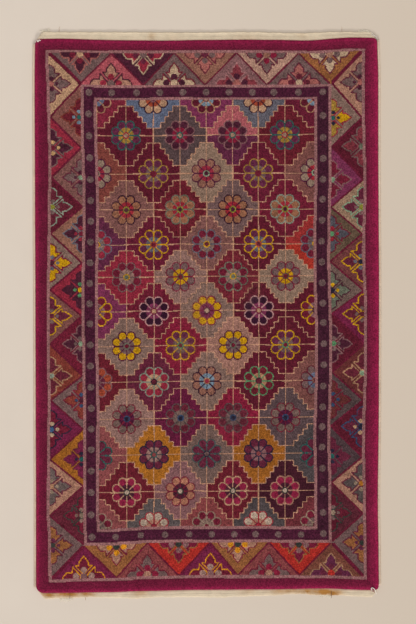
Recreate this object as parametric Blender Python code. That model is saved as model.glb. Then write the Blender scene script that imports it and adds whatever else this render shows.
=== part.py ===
"""A hand-knotted Chinese rug of the art deco years, lying flat on the floor.

The rug lies along +Y, with its right-way-up side up and its middle on the origin. One knotted
wool pile, two cream cotton end webs, two overcast selvage cords and four places where warp
ends have frayed out are each a solid of their own. Every place is first given on the loom,
where the rug would be a true rectangle, and then laid on the floor, where its edges stray by
a few millimetres, as they do on a hand-made rug.
"""

import math
import random

import bmesh
import bpy
from mathutils import Vector

MM = 0.001

# The pile on the loom, in metres.
PILE_WIDTH = 0.909
PILE_LENGTH = 1.461
PILE_THICKNESS = 0.011
SHOULDER = 0.0045           # the rounding of the pile's upper rim
SHOULDER_STEPS = 3
CORNER_LINES = (0.009, 0.014, 0.02)     # grid lines that carry the round corners, from the rim
SWELL = 0.0005              # how far the top rises and sinks across the rug
PILE_CELLS_ACROSS = 36      # even cells between the corner lines
PILE_CELLS_ALONG = 34

# What is sewn or woven on, in metres.
GAP = 0.0003                # between pieces that touch
CORD_WIDTH = 0.0052
CORD_HEIGHT = 0.0068

# How far each edge of the laid pile strays outwards from the loom's rectangle.
# Columns: share of the way along the edge, stray in mm.
# Left and right edges run from the near end to the far end, the others from left to right.
LEFT_STRAY = ((0.0, -1.9), (0.16, -1.9), (0.35, -1.1), (0.53, -0.3), (0.71, 0.8), (0.93, 1.9), (1.0, 0.8))
RIGHT_STRAY = ((0.0, 1.2), (0.06, 0.3), (0.16, -1.6), (0.35, 1.1), (0.53, 1.6), (0.82, -0.5), (0.93, -0.4), (1.0, -3.2))
FAR_STRAY = ((0.0, 1.0), (0.07, 2.1), (0.25, -1.3), (0.33, -1.9), (0.48, -0.8), (0.77, -0.3), (0.92, 5.6), (1.0, 4.2))
NEAR_STRAY = ((0.0, 6.8), (0.05, 6.6), (0.2, 4.8), (0.33, 1.3), (0.48, -1.6), (0.66, -2.7), (0.84, -5.0), (0.96, -1.3), (1.0, -0.8))

# Corner radii of the pile, in metres.
CORNER_RADIUS = {"far_left": 0.012, "far_right": 0.008, "near_left": 0.019, "near_right": 0.011}

# The outer line of each web: how far it lies beyond the loom's rectangle.
# Columns: share of the way from left to right, reach in mm.
FAR_REACH = ((0.0, 20.4), (0.25, 20.2), (0.45, 19.0), (0.62, 20.6), (0.78, 17.6), (0.9, 20.8), (1.0, 19.6))
NEAR_REACH = ((0.0, 23.2), (0.08, 21.0), (0.15, 18.4), (0.22, 20.0), (0.28, 22.2), (0.36, 18.4), (0.46, 18.2),
              (0.53, 19.6), (0.6, 16.6), (0.68, 14.4), (0.77, 9.8), (0.83, 12.8), (0.9, 13.6), (0.96, 17.0), (1.0, 17.8))

# The long folds across a web, from the pile outwards. Columns: share of its width, height in mm.
FAR_FOLDS = ((0.0, 3.2), (0.14, 3.9), (0.3, 4.3), (0.42, 3.0), (0.55, 4.4), (0.7, 3.2), (0.86, 5.4), (0.95, 4.6), (1.0, 2.4))
NEAR_FOLDS = ((0.0, 3.0), (0.16, 3.8), (0.34, 3.9), (0.46, 2.6), (0.62, 3.4), (0.8, 2.8), (0.92, 2.9), (1.0, 1.4))

# How much further in a web's outer line ends than its inner line, in mm, at the left and the right.
WEB_SLANT = {"far": (7.0, 12.0), "near": (15.0, 13.0)}

# Frayed warp ends. Columns: node, end of the rug, share of the web's length where the tuft begins
# and ends, strands, mean length in mm, fan of the strands in degrees from one side to the other.
FRAYED = (
    ("frayed_ends_far_left", "far", 0.002, 0.028, 9, 9.0, (34, -16)),
    ("frayed_ends_far_right", "far", 0.957, 0.985, 9, 10.0, (8, -52)),
    ("frayed_ends_near_left", "near", 0.055, 0.095, 11, 8.5, (22, -16)),
    ("frayed_ends_near_right", "near", 0.835, 0.87, 9, 8.0, (14, -12)),
)
STRAND_WIDTH = 0.0011
STRAND_THICKNESS = 0.0012
STRAND_ROOT_STRIP = 0.0012

# Colours as a plain yarn shows them: red, green, blue in linear light, and roughness.
WOOL_MAGENTA = ((0.165, 0.012, 0.048), 0.95)
COTTON_CREAM = ((0.62, 0.52, 0.37), 0.9)
WOOL_BEIGE = ((0.47, 0.36, 0.25), 0.92)
COTTON_RAW = ((0.68, 0.6, 0.46), 0.9)


def along_table(table, share):
    """The table's value at a share of the way, eased from row to row so that no edge has a kink."""
    share = min(max(share, table[0][0]), table[-1][0])
    for (start, first), (end, last) in zip(table, table[1:]):
        if share <= end:
            way = (share - start) / (end - start)
            return first + (last - first) * way * way * (3 - 2 * way)
    return table[-1][1]


def corner_name(across, along):
    """Which corner of the rug is nearest."""
    return ("far" if along > 0 else "near") + ("_right" if across > 0 else "_left")


def rounded(across, along):
    """A place on the loom's rectangle, drawn in so that the rectangle's corners are arcs."""
    radius = CORNER_RADIUS[corner_name(across, along)]
    past_across = abs(across) - (PILE_WIDTH / 2 - radius)
    past_along = abs(along) - (PILE_LENGTH / 2 - radius)
    if past_across <= 0 or past_along <= 0:
        return across, along
    way_across, way_along = past_across / radius, past_along / radius
    pull_across = past_across * (1 - math.sqrt(1 - way_along ** 2 / 2))
    pull_along = past_along * (1 - math.sqrt(1 - way_across ** 2 / 2))
    return across - math.copysign(pull_across, across), along - math.copysign(pull_along, along)


def strayed(across, along):
    """Where a place on the loom comes to lie on the floor."""
    right_share = 0.5 + across / PILE_WIDTH
    far_share = 0.5 + along / PILE_LENGTH
    left = along_table(LEFT_STRAY, far_share) * (1 - right_share)
    right = along_table(RIGHT_STRAY, far_share) * right_share
    near = along_table(NEAR_STRAY, right_share) * (1 - far_share)
    far = along_table(FAR_STRAY, right_share) * far_share
    return across + (right - left) * MM, along + (far - near) * MM


def shouldered_lines(length, cells):
    """Grid lines along a length: close together at both rims and even between."""
    steps = [SHOULDER * (1 - math.cos(math.pi / 2 * k / SHOULDER_STEPS)) for k in range(SHOULDER_STEPS + 1)]
    steps += CORNER_LINES
    inner = [steps[-1] + (length - 2 * steps[-1]) * k / cells for k in range(1, cells)]
    lines = steps + inner + [length - step for step in reversed(steps)]
    return [line - length / 2 for line in lines]


ACROSS_LINES = shouldered_lines(PILE_WIDTH, PILE_CELLS_ACROSS)
ALONG_LINES = shouldered_lines(PILE_LENGTH, PILE_CELLS_ALONG)


def rim_point(end, across, out):
    """A place on the pile's rim at one end, moved straight outwards."""
    sign = 1 if end == "far" else -1
    radius = CORNER_RADIUS[corner_name(across, sign)]
    past = abs(across) - (PILE_WIDTH / 2 - radius)
    if past <= 0:
        return strayed(across, sign * (PILE_LENGTH / 2 + out))
    way = past / radius
    round_across = PILE_WIDTH / 2 - radius + (radius + out) * way * math.sqrt(0.5)
    round_along = PILE_LENGTH / 2 - radius + (radius + out) * math.sqrt(1 - way ** 2 / 2)
    return strayed(math.copysign(round_across, across), sign * round_along)


def web_point(end, column, share_out):
    """A place on a web: column by column beside the pile's rim, and out by a share of its width."""
    sign = 1 if end == "far" else -1
    across = ACROSS_LINES[column]
    inner_x, inner_y = rim_point(end, across, GAP)
    right_share = 0.5 + across / PILE_WIDTH
    slant_left, slant_right = WEB_SLANT[end]
    slant = slant_left * (1 - right_share) ** 4 - slant_right * right_share ** 4
    reach = along_table(FAR_REACH if end == "far" else NEAR_REACH, right_share)
    outer_x, outer_y = inner_x + slant * MM, sign * (PILE_LENGTH / 2 + reach * MM)
    return inner_x + (outer_x - inner_x) * share_out, inner_y + (outer_y - inner_y) * share_out


def material(name, finish):
    """A plain dull material of one colour."""
    colour, roughness = finish
    made = bpy.data.materials.new(name)
    made.use_nodes = True
    shader = made.node_tree.nodes["Principled BSDF"]
    shader.inputs["Base Color"].default_value = (*colour, 1)
    shader.inputs["Roughness"].default_value = roughness
    shader.inputs["Metallic"].default_value = 0
    made.diffuse_color = (*colour, 1)
    return made


def add_object(name, data, finish, collection):
    """Puts a mesh or curve in the rug's collection under its node's name."""
    data.materials.append(finish)
    made = bpy.data.objects.new(name, data)
    collection.objects.link(made)
    return made


def slab(name, columns, rows, place, finish, collection):
    """A flat-bottomed body. Its top is a grid whose point (column, row) is place(column, row)."""
    grid = bmesh.new()
    bmesh.ops.create_grid(grid, x_segments=columns, y_segments=rows, size=1)
    grid.verts.ensure_lookup_table()
    tops = [(vert, round((vert.co.x + 1) / 2 * columns), round((vert.co.y + 1) / 2 * rows)) for vert in grid.verts]
    below = bmesh.ops.extrude_face_region(grid, geom=grid.faces[:])["geom"]
    for vert, column, row in tops:
        vert.co = place(column, row)
    floor_faces = [item for item in below if isinstance(item, bmesh.types.BMFace)]
    for vert in [item for item in below if isinstance(item, bmesh.types.BMVert)]:
        column, row = round((vert.co.x + 1) / 2 * columns), round((vert.co.y + 1) / 2 * rows)
        x, y, _ = place(column, row)
        vert.co = (x, y, 0)
    bmesh.ops.dissolve_faces(grid, faces=floor_faces, use_verts=True)
    bmesh.ops.recalc_face_normals(grid, faces=grid.faces[:])
    if grid.calc_volume(signed=True) < 0:
        bmesh.ops.reverse_faces(grid, faces=grid.faces[:])
    mesh = bpy.data.meshes.new(name)
    grid.to_mesh(mesh)
    grid.free()
    mesh.shade_smooth()
    mesh.set_sharp_from_angle(angle=math.radians(40))
    return add_object(name, mesh, finish, collection)


def pile_height(across, along):
    """The top of the pile: a rounded shoulder at the rim, and a slow swell between."""
    from_edge = min(PILE_WIDTH / 2 - abs(across), PILE_LENGTH / 2 - abs(along))
    inwards = min(from_edge / SHOULDER, 1)
    drop = SHOULDER * (1 - math.sqrt(max(1 - (1 - inwards) ** 2, 0)))
    swell = math.sin(7.1 * across + 2.3 * along) + math.cos(9.7 * along - 4.2 * across)
    return PILE_THICKNESS - drop + SWELL * swell / 2


def make_pile(collection):
    """The knotted wool pile with the foundation under it, as one body."""
    def place(column, row):
        across, along = ACROSS_LINES[column], ALONG_LINES[row]
        return *strayed(*rounded(across, along)), pile_height(across, along)

    finish = material("wool_pile", WOOL_MAGENTA)
    return slab("pile", len(ACROSS_LINES) - 1, len(ALONG_LINES) - 1, place, finish, collection)


def make_web(end, folds, collection):
    """A cotton web along one end of the pile, its folds running from side to side."""
    def place(column, row):
        share_out, height = folds[row]
        ripple = 1 + 0.09 * math.sin(0.7 * column + 5 * share_out) + 0.06 * math.sin(1.9 * column)
        return *web_point(end, column, share_out), height * MM * ripple

    finish = material(f"cotton_web_{end}", COTTON_CREAM)
    return slab(f"end_web_{end}", len(ACROSS_LINES) - 1, len(folds) - 1, place, finish, collection)


def make_cord(side, collection):
    """The overcast selvage cord along one side: a half-round bead, thinner at its two ends."""
    sign = 1 if side == "right" else -1
    near = -PILE_LENGTH / 2 + CORNER_RADIUS[f"near_{side}"]
    far = PILE_LENGTH / 2 - CORNER_RADIUS[f"far_{side}"]
    lines = [along for along in ALONG_LINES if near < along < far]
    section = [math.pi * k / 6 for k in range(7)]

    def place(column, row):
        along = lines[row]
        taper = 1 - 0.4 * (row in (0, len(lines) - 1))
        bead = 1 + 0.05 * math.sin(41 * along) + 0.04 * math.sin(97 * along)
        edge_x, edge_y = strayed(sign * PILE_WIDTH / 2, along)
        out = GAP + CORD_WIDTH * taper * (1 - math.cos(section[column])) / 2
        height = CORD_HEIGHT * taper * bead * (0.35 + 0.65 * math.sin(section[column]))
        return edge_x + sign * out, edge_y, height

    finish = material(f"selvage_{side}", WOOL_BEIGE)
    return slab(f"side_cord_{side}", len(section) - 1, len(lines) - 1, place, finish, collection)


def make_frayed(name, end, begin, finish_share, strands, length, fan, collection):
    """Loose warp ends lying on the floor, their roots held by a narrow strip beside the web.

    The plan is one outline: along the strip's inner line, then out to each tip and back.
    """
    rng = random.Random(name)
    sign = 1 if end == "far" else -1
    shares = [0.5 + across / PILE_WIDTH for across in ACROSS_LINES]

    def edge_point(share, out):
        """Beside the web's outer line, which runs straight from column to column."""
        column = max(k for k in range(len(shares) - 1) if shares[k] <= share)
        way = (share - shares[column]) / (shares[column + 1] - shares[column])
        (x0, y0), (x1, y1) = web_point(end, column, 1), web_point(end, column + 1, 1)
        return x0 + (x1 - x0) * way, y0 + (y1 - y0) * way + sign * (GAP + out)

    between = [share for share in shares if begin < share < finish_share]
    inner = [finish_share, *reversed(between), begin]
    plan = [edge_point(share, 0) for share in inner] + [edge_point(begin, STRAND_ROOT_STRIP)]
    for strand in range(strands):
        share = (strand + 0.5) / strands
        root_x, root_y = edge_point(begin + (finish_share - begin) * share, STRAND_ROOT_STRIP)
        lean = math.radians(fan[0] + (fan[1] - fan[0]) * share + rng.uniform(-3, 3))
        reach = length * MM * rng.uniform(0.55, 1.25)
        across, outward = -math.sin(lean), sign * math.cos(lean)
        middle = (root_x + across * reach * 0.45, root_y + outward * reach * 0.55)
        tip = (root_x + across * reach, root_y + outward * reach)
        half = STRAND_WIDTH / 2
        plan += [(root_x - half, root_y), (middle[0] - half, middle[1]), (tip[0] - half / 2, tip[1]),
                 (tip[0] + half / 2, tip[1]), (middle[0] + half, middle[1]), (root_x + half, root_y)]
    plan.append(edge_point(finish_share, STRAND_ROOT_STRIP))

    curve = bpy.data.curves.new(name, "CURVE")
    curve.dimensions = "2D"
    curve.fill_mode = "BOTH"
    curve.extrude = STRAND_THICKNESS / 2
    spline = curve.splines.new("POLY")
    spline.points.add(len(plan) - 1)
    for point, (x, y) in zip(spline.points, plan):
        point.co = (x, y, 0, 1)
    spline.use_cyclic_u = True
    made = add_object(name, curve, material(f"cotton_{name}", COTTON_RAW), collection)
    made.location.z = STRAND_THICKNESS / 2
    return made


def clear_scene():
    """Empties the scene, so that only the rug is in it."""
    for old in list(bpy.data.objects):
        bpy.data.objects.remove(old, do_unlink=True)


def centre_on_origin(collection):
    """Moves every piece alike, so that the middle of the rug's box is the origin."""
    bpy.context.view_layer.update()
    corners = [made.matrix_world @ Vector(corner) for made in collection.objects for corner in made.bound_box]
    middle_x = (min(corner.x for corner in corners) + max(corner.x for corner in corners)) / 2
    middle_y = (min(corner.y for corner in corners) + max(corner.y for corner in corners)) / 2
    for made in collection.objects:
        made.location.x -= middle_x
        made.location.y -= middle_y


def main():
    clear_scene()
    collection = bpy.data.collections.new("chinese_rug")
    bpy.context.scene.collection.children.link(collection)
    make_pile(collection)
    make_web("far", FAR_FOLDS, collection)
    make_web("near", NEAR_FOLDS, collection)
    make_cord("left", collection)
    make_cord("right", collection)
    for row in FRAYED:
        make_frayed(*row, collection)
    centre_on_origin(collection)


main()
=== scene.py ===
# %% [markdown]
# # A hand-knotted Chinese rug
#
# The rug lies flat on a floor: wool knots on a cotton ground, a magenta rim, a border of
# triangles with half palmettes, a dark guard stripe with round dots, and a field of stepped
# tiles, each with an eight-petalled rosette. A cotton web ends it at both ends and a cord in
# beige wool at both sides. The lesson charts the knots as a weaver would, lays them as one
# mesh, and adds the yarns that are too fine for the solid model.
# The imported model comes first, because every piece here has to sit where its solid sits.

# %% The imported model
import math

import bpy
import numpy as np
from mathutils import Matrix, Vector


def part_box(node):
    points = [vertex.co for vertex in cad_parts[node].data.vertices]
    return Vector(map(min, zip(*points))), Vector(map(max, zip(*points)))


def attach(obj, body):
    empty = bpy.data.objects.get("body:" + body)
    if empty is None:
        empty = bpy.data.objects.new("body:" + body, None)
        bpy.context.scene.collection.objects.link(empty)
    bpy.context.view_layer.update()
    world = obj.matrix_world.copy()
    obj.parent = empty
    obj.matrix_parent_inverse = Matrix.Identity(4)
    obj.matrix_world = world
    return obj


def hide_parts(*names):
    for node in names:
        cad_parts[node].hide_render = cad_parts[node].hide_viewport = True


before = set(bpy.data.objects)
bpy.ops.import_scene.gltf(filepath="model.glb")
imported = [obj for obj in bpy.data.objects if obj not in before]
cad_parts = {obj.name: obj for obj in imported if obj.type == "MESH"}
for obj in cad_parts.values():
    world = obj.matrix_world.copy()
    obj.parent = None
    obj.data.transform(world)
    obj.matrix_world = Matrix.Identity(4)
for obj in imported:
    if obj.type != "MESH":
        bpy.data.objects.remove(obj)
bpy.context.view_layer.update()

MM = 0.001

# %% [markdown]
# ## The wools
#
# This rug took about a hundred lots of yarn, and many differ by little. One table
# names them and gives each as it looks in daylight. Blender's materials count in linear
# light, so the table is turned to linear once, here, and every later step uses names.

# %% The wools
# each lot of yarn: red, green and blue from 0 to 255, as seen
LOTS = """
magenta 112 26 50, mauve_line 146 99 98, guard_plum 71 25 45, guard_dark 64 26 42, dot_grey 104 80 78,
zigzag 99 25 46, dark_rust 97 45 44, garnet 122 50 58, mulberry 108 31 60, rosewood 110 58 57, peat 76 57 60,
dark_maroon 84 34 44, smoke 82 78 84, sea_blue 58 82 112, amber 198 128 26, straw 186 144 98, shell 168 128 110,
terracotta 160 105 82, bone 172 150 130, cherry 109 36 46, bright_crimson 123 27 50, crimson 106 28 46,
wine 90 25 40, dark_red 100 29 40, red 144 36 48, vermilion 166 43 36, salmon 156 90 83, rose 162 76 83,
dusty_rose 128 62 62, crimson_red 137 39 55, raspberry 134 32 60, grape 96 26 54, brown_plum 64 25 36,
old_rose 104 45 50, pale_mauve 172 126 122, plum 95 34 52, dark_plum 71 29 44, deep_plum 76 24 50,
night 50 19 38, violet 94 38 62, purple 116 46 75, maroon 96 34 47, mauve 126 86 86, mauve_brown 119 73 67,
mauve_taupe 122 80 74, taupe_pink 138 104 94, taupe 126 99 88, beige_taupe 137 111 93, beige 148 116 94,
grey 108 82 79, grey_taupe 109 86 78, dark_grey 82 64 64, slate 82 70 68, ash 88 69 70, graphite 75 66 66,
stone 99 83 79, pale_grey 136 114 96, blue 94 101 120, blue_grey 96 92 99, light_blue 112 130 142,
navy 37 33 50, deep_blue 48 66 92, teal 34 84 78, green 80 126 86, pale_green 124 142 114, sage 124 130 114,
grey_teal 60 78 76, grey_green 98 100 84, olive 127 122 46, olive_brown 96 76 60, dark_green 52 54 49,
yellow 186 137 15, mustard 152 116 49, ochre 160 99 33, ochre_brown 140 87 51, brown 112 64 51,
rust_brown 121 61 53, rust 120 53 44, orange 150 65 44, cream 178 148 120, cream_tan 174 134 104,
camel 160 117 88, tan 137 92 76, nut 140 93 68, tan_pink 160 114 94, gold_line 182 135 106, ruby 122 37 54,
claret 98 27 46, umber 126 78 70, buff 148 106 92, cinder 89 79 77, rose_dust 132 70 69, bronze 149 90 33,
ember 148 47 45, flame 165 50 38, rose_pale 164 86 90, dove 152 116 106
"""
WOOLS = {name: tuple(map(int, seen)) for name, *seen in (lot.split() for lot in LOTS.split(","))}
WOOL_NUMBER = {name: number for number, name in enumerate(WOOLS)}


def linear(colours):
    """Colours from 0 to 255 as seen, turned to linear light from 0 to 1."""
    share = np.asarray(colours, float) / 255
    return np.where(share <= 0.04045, share / 12.92, ((share + 0.055) / 1.055) ** 2.4)


print(len(WOOLS), "wools")

# %% [markdown]
# ## The loom
#
# A weaver counts knots on a true rectangle, and only later does the rug stray on the floor.
# So every place is first given on the loom, in millimetres from the rug's middle: across to
# the right and along to the far end. One chart holds the number of a wool for each knot.

# %% The loom and its chart of knots
LOOM_WIDTH, LOOM_LENGTH = 909.0, 1461.0
KNOTS_ACROSS, KNOTS_ALONG = 484, 778
HALF_WIDTH, HALF_LENGTH = LOOM_WIDTH / 2, LOOM_LENGTH / 2
KNOT = LOOM_WIDTH / KNOTS_ACROSS
ACROSS, ALONG = np.meshgrid((np.arange(KNOTS_ACROSS) + 0.5) / KNOTS_ACROSS * LOOM_WIDTH - HALF_WIDTH,
                            (np.arange(KNOTS_ALONG) + 0.5) / KNOTS_ALONG * LOOM_LENGTH - HALF_LENGTH)
chart = np.full(ACROSS.shape, WOOL_NUMBER["magenta"], np.int16)


def knot_in(mask, wool):
    """Knots one wool wherever the mask is true."""
    chart[mask] = WOOL_NUMBER[wool]


def eased(table, share):
    """The table's value at each share of the way, eased from row to row so that nothing kinks."""
    share = np.clip(share, table[0][0], table[-1][0])
    value = np.full(np.shape(share), table[-1][1], float)
    for (start, first), (end, last) in reversed(list(zip(table, table[1:]))):
        way = np.clip((share - start) / (end - start), 0, 1)
        value = np.where(share <= end, first + (last - first) * way * way * (3 - 2 * way), value)
    return value


print("chart of", chart.size, "knots,", round(KNOT, 3), "mm each")

# %% [markdown]
# ## The bands of the border
#
# From the edge inwards come the plain rim, a mauve line, the triangles, a mauve line, the
# dark guard stripe, a mauve line, and then the field. On a hand-made rug no band is quite
# straight, so the rim and the guard stripe follow short tables along each side. Counting
# the bands outwards as one number makes all the mitred corners by itself: a knot belongs
# to the side where it has passed fewest bands.

# %% How many bands each knot has passed
SIDES = ("left", "right", "far", "near")
LINE_WIDTHS = {side: (6.6, 6.4, 5.8) if side == "far" else (7.7, 7.7, 7.7) for side in SIDES}
GUARD_WIDTH = {"left": 27.6, "right": 29.6, "far": 26.6, "near": 28.0}
RIM = {        # share of the way along the side, width of the plain rim
    "left": ((0.0, 33.0), (0.09, 32.5), (0.14, 28.8), (0.27, 29.4), (0.34, 31.6), (0.42, 30.2), (0.55, 30.4),
             (0.66, 33.0), (0.77, 35.6), (0.89, 32.6), (0.97, 28.2), (1.0, 28.0)),
    "right": ((0.0, 32.2), (0.15, 31.5), (0.28, 35.8), (0.42, 31.6), (0.52, 32.2), (0.61, 36.6), (0.73, 32.0),
              (0.92, 36.4), (1.0, 32.0)),
    "far": ((0.0, 30.2), (0.36, 28.5), (0.56, 28.2), (0.74, 29.5), (0.84, 32.2), (0.95, 29.8), (1.0, 29.5)),
    "near": ((0.0, 27.8), (0.16, 30.1), (0.36, 31.4), (0.66, 30.8), (0.8, 28.6), (1.0, 28.6)),
}
GUARD = {      # share of the way along the side, depth at which the guard stripe begins
    "left": ((0.0, 136.0), (0.1, 134.6), (0.14, 132.6), (0.33, 133.0), (0.44, 130.8), (0.52, 129.4),
             (0.7, 133.6), (0.87, 128.8), (0.97, 133.0), (1.0, 134.0)),
    "right": ((0.0, 131.2), (0.17, 131.0), (0.28, 135.2), (0.43, 131.0), (0.6, 136.4), (0.79, 131.0),
              (0.97, 132.2)),
    "far": ((0.0, 125.3), (0.26, 127.3), (0.36, 126.3), (0.8, 127.4), (1.0, 129.8)),
    "near": ((0.0, 131.0), (0.16, 130.8), (0.34, 134.8), (0.62, 133.4), (0.84, 130.0), (1.0, 128.0)),
}
RIM_BAND, OUTER_LINE, TRIANGLES, MIDDLE_LINE, GUARD_BAND, INNER_LINE, FIELD = range(7)


def station(side):
    """How far along its side each knot lies."""
    return ALONG if side in ("left", "right") else ACROSS


def side_share(side):
    """The same as a share of the side, from 0 to 1."""
    return 0.5 + station(side) / (LOOM_LENGTH if side in ("left", "right") else LOOM_WIDTH)


def band_depth(side):
    """0 at the edge, and then 1 more for each band that has been passed."""
    from_edge = {"left": ACROSS + HALF_WIDTH, "right": HALF_WIDTH - ACROSS,
                 "far": HALF_LENGTH - ALONG, "near": ALONG + HALF_LENGTH}[side]
    rim, guard = eased(RIM[side], side_share(side)), eased(GUARD[side], side_share(side))
    inner = guard + GUARD_WIDTH[side]
    outer_line, middle_line, inner_line = LINE_WIDTHS[side]
    ends = [0 * rim, rim, rim + outer_line, guard - middle_line, guard, inner, inner + inner_line]
    depth = np.full(rim.shape, float(FIELD))
    for band in reversed(range(FIELD)):
        way = (from_edge - ends[band]) / (ends[band + 1] - ends[band])
        depth = np.where(from_edge < ends[band + 1], band + way, depth)
    return depth


DEPTHS = np.array([band_depth(side) for side in SIDES])
NEAREST_SIDE = DEPTHS.argmin(0)
BAND = DEPTHS.min(0)
print("share of knots in the field:", round(float((BAND >= FIELD).mean()), 3))

# %% [markdown]
# ## The field of stepped tiles
#
# Thin gold lines cross in the field, and a rosette sits at every second crossing. Between
# four rosettes the ground changes colour along a staircase of four steps, so each tile is a
# stepped lozenge. Drawn by hand this would be 59 outlines. One rule does it instead: for
# each knot, find the cell of the lattice, and ask which of the cell's two rosettes owns it.

# %% Who owns each knot of the field
COLUMNS = (-291.0, -213.2, -141.1, -70.6, -0.9, 68.8, 136.6, 207.4, 286.6)
ROWS = (573.7, 477.0, 375.2, 279.8, 187.6, 101.8, 11.1, -80.8, -176.0, -273.5, -369.1, -467.7, -560.5)
STEPS = ((0.27, 0.8), (0.425, 0.65), (0.575, 0.5), (0.73, 0.35), (1.01, 0.2))     # up to this share, reach
LATTICE_HALF = 0.58 * KNOT      # half the width of a gold line, which wobbles between one and two knots
TWO_KNOTS = np.random.default_rng(3).random(ACROSS.shape) < 0.15


def step_reach(share):
    """How far along the cell the first rosette's tile reaches, at a share of the way across."""
    reach = np.zeros(np.shape(share))
    for end, level in reversed(STEPS):
        reach = np.where(share <= end, level, reach)
    return reach


def tile_owners():
    """The row and the column of the rosette that owns each knot."""
    columns, rows = np.array(COLUMNS), np.array(ROWS)
    column = np.clip(np.searchsorted(columns, ACROSS) - 1, 0, len(COLUMNS) - 2)
    row = np.clip(np.searchsorted(-rows, -ALONG) - 1, 0, len(ROWS) - 2)
    share_across = np.clip((ACROSS - columns[column]) / (columns[column + 1] - columns[column]), 0, 1)
    share_along = np.clip((ALONG - rows[row]) / (rows[row + 1] - rows[row]), 0, 1)
    odd = (row + column) % 2
    first = share_along < step_reach(np.where(odd, 1 - share_across, share_across))
    return np.where(first, row, row + 1), column + np.where(first, odd, 1 - odd)


def borders_of(regions):
    """Knots that border on another region: one knot wide, and here and there two."""
    border = np.zeros(regions.shape, bool)
    beside, above = regions[:, 1:] != regions[:, :-1], regions[1:] != regions[:-1]
    border[:, 1:] |= beside
    border[1:] |= above
    border[:, :-1] |= beside & TWO_KNOTS[:, 1:]
    border[:-1] |= above & TWO_KNOTS[1:]
    return border


OWNER_ROW, OWNER_COLUMN = tile_owners()
TILE = OWNER_ROW * len(COLUMNS) + OWNER_COLUMN
print("tiles:", len(np.unique(TILE)))

# %% [markdown]
# ## The wools of each rosette
#
# The weaver changed the wools from tile to tile, mostly in pairs that take turns along a
# row. The chart says in words which wool goes where, one line a rosette, from the far row
# to the near one and from left to right. A ground with two names changes half way down,
# where one lot of yarn ran out.

# %% The wools of each rosette
# ground, petals, outline, inner ring, eye ring, eye
ROSETTES = """
ruby wine camel blue dark_red plum
blue cream_tan night orange mauve plum
purple wine camel light_blue dark_red cream
blue_grey cream_tan night orange mauve night
claret wine camel light_blue dark_red plum

wine violet teal mustard red beige
dark_grey dark_plum mauve bright_crimson teal beige
rose_pale/violet dark_plum mauve bright_crimson teal beige
dark_red violet teal mustard red beige

rust_brown pale_grey deep_plum crimson_red pale_grey dark_plum
wine violet mustard grey crimson crimson
beige_taupe tan deep_plum crimson_red pale_green dark_plum
claret violet mustard grey crimson crimson
mauve_brown pale_grey deep_plum red pale_green dark_plum

mauve_taupe nut night red olive dark_plum
dark_red nut grey_green red olive dark_plum
grey nut night red olive dark_plum
crimson nut sage red olive dark_plum

violet crimson_red blue_grey taupe yellow crimson
claret violet yellow blue_grey orange crimson
mauve_taupe crimson blue_grey taupe yellow maroon
wine violet yellow blue_grey orange maroon
ember/flame crimson blue_grey grey yellow maroon

crimson_red crimson grey taupe_pink yellow grey_green
taupe_pink grey magenta yellow olive_brown dark_red
cherry crimson grey_green taupe_pink yellow grey_green
beige_taupe grey magenta yellow olive_brown dark_red

purple crimson yellow mauve plum beige
crimson night pale_mauve purple magenta cream_tan
taupe yellow magenta purple dark_plum cream
wine night pale_mauve purple magenta cream_tan
wine crimson yellow mauve dark_plum grey

taupe yellow deep_plum grey grey_green crimson
bright_crimson violet yellow grey green crimson
buff yellow deep_plum grey grey_green crimson
wine violet yellow grey green crimson

dark_red orange mauve plum mauve plum
plum crimson_red sage cream_tan night maroon
taupe tan night light_blue camel crimson_red
wine dark_red green camel dark_plum maroon
mauve_brown grey wine blue tan maroon

taupe_pink grey_taupe crimson deep_plum deep_blue navy
grape maroon slate grey_taupe deep_blue navy
bright_crimson maroon slate grey deep_blue navy
ash grey_taupe crimson deep_plum deep_blue navy

rose_dust plum teal plum plum navy
ochre plum navy taupe_pink teal dusty_rose
grey_taupe plum grey_teal plum navy grey
bronze plum navy mauve navy dusty_rose
graphite plum teal plum navy maroon

dark_red raspberry cream_tan dark_plum dark_green bone
mauve terracotta crimson dark_plum dark_green bone
dark_red raspberry cream_tan dark_plum dark_green bone
brown_plum raspberry tan_pink dark_plum dark_green bone

rose_dust crimson pale_grey grey slate mauve
cinder bone red tan_pink crimson red
dusty_rose crimson pale_grey taupe pale_grey crimson
graphite bone red tan_pink crimson red
old_rose crimson pale_grey grey pale_grey maroon
"""
ROSETTE_WOOLS = [line.split() for line in ROSETTES.splitlines() if line]
ROSETTE_PLACES = [(row, column) for row in range(len(ROWS)) for column in range(row % 2, len(COLUMNS), 2)]
print(len(ROSETTE_WOOLS), "rosettes for", len(ROSETTE_PLACES), "places")

# %% [markdown]
# ## Tiles, lattice and rosettes
#
# A rosette is eight round petals on a ring, an inner ring with spokes, and an eye. All of
# it follows from a knot's distance and angle from the middle, so no outline is stored. The
# grounds go in first, then the gold lines, and the rosettes over both, as they lie on the rug.

# %% Knotting the field
PETAL_RING = 29.2       # middle of the rosette to the middle of a petal
PETAL, PETAL_EDGE = 9.5, 12.4       # radius of a petal, and with its outline
INNER_RING, EYE_RING, EYE = 20.6, 8.8, 5.8
SPOKE, THIN_SPOKE = 2.0, 1.6        # half the width of the lines between the petals' feet, and elsewhere
REACH = 45              # no part of a rosette is further out
SWAY = 0.5              # mm that a gold line sways to each side
SWAY_ALONG, SWAY_ACROSS = 23, 19    # one sway is 2 pi times as long, in mm
EIGHTH = math.pi / 4


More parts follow.
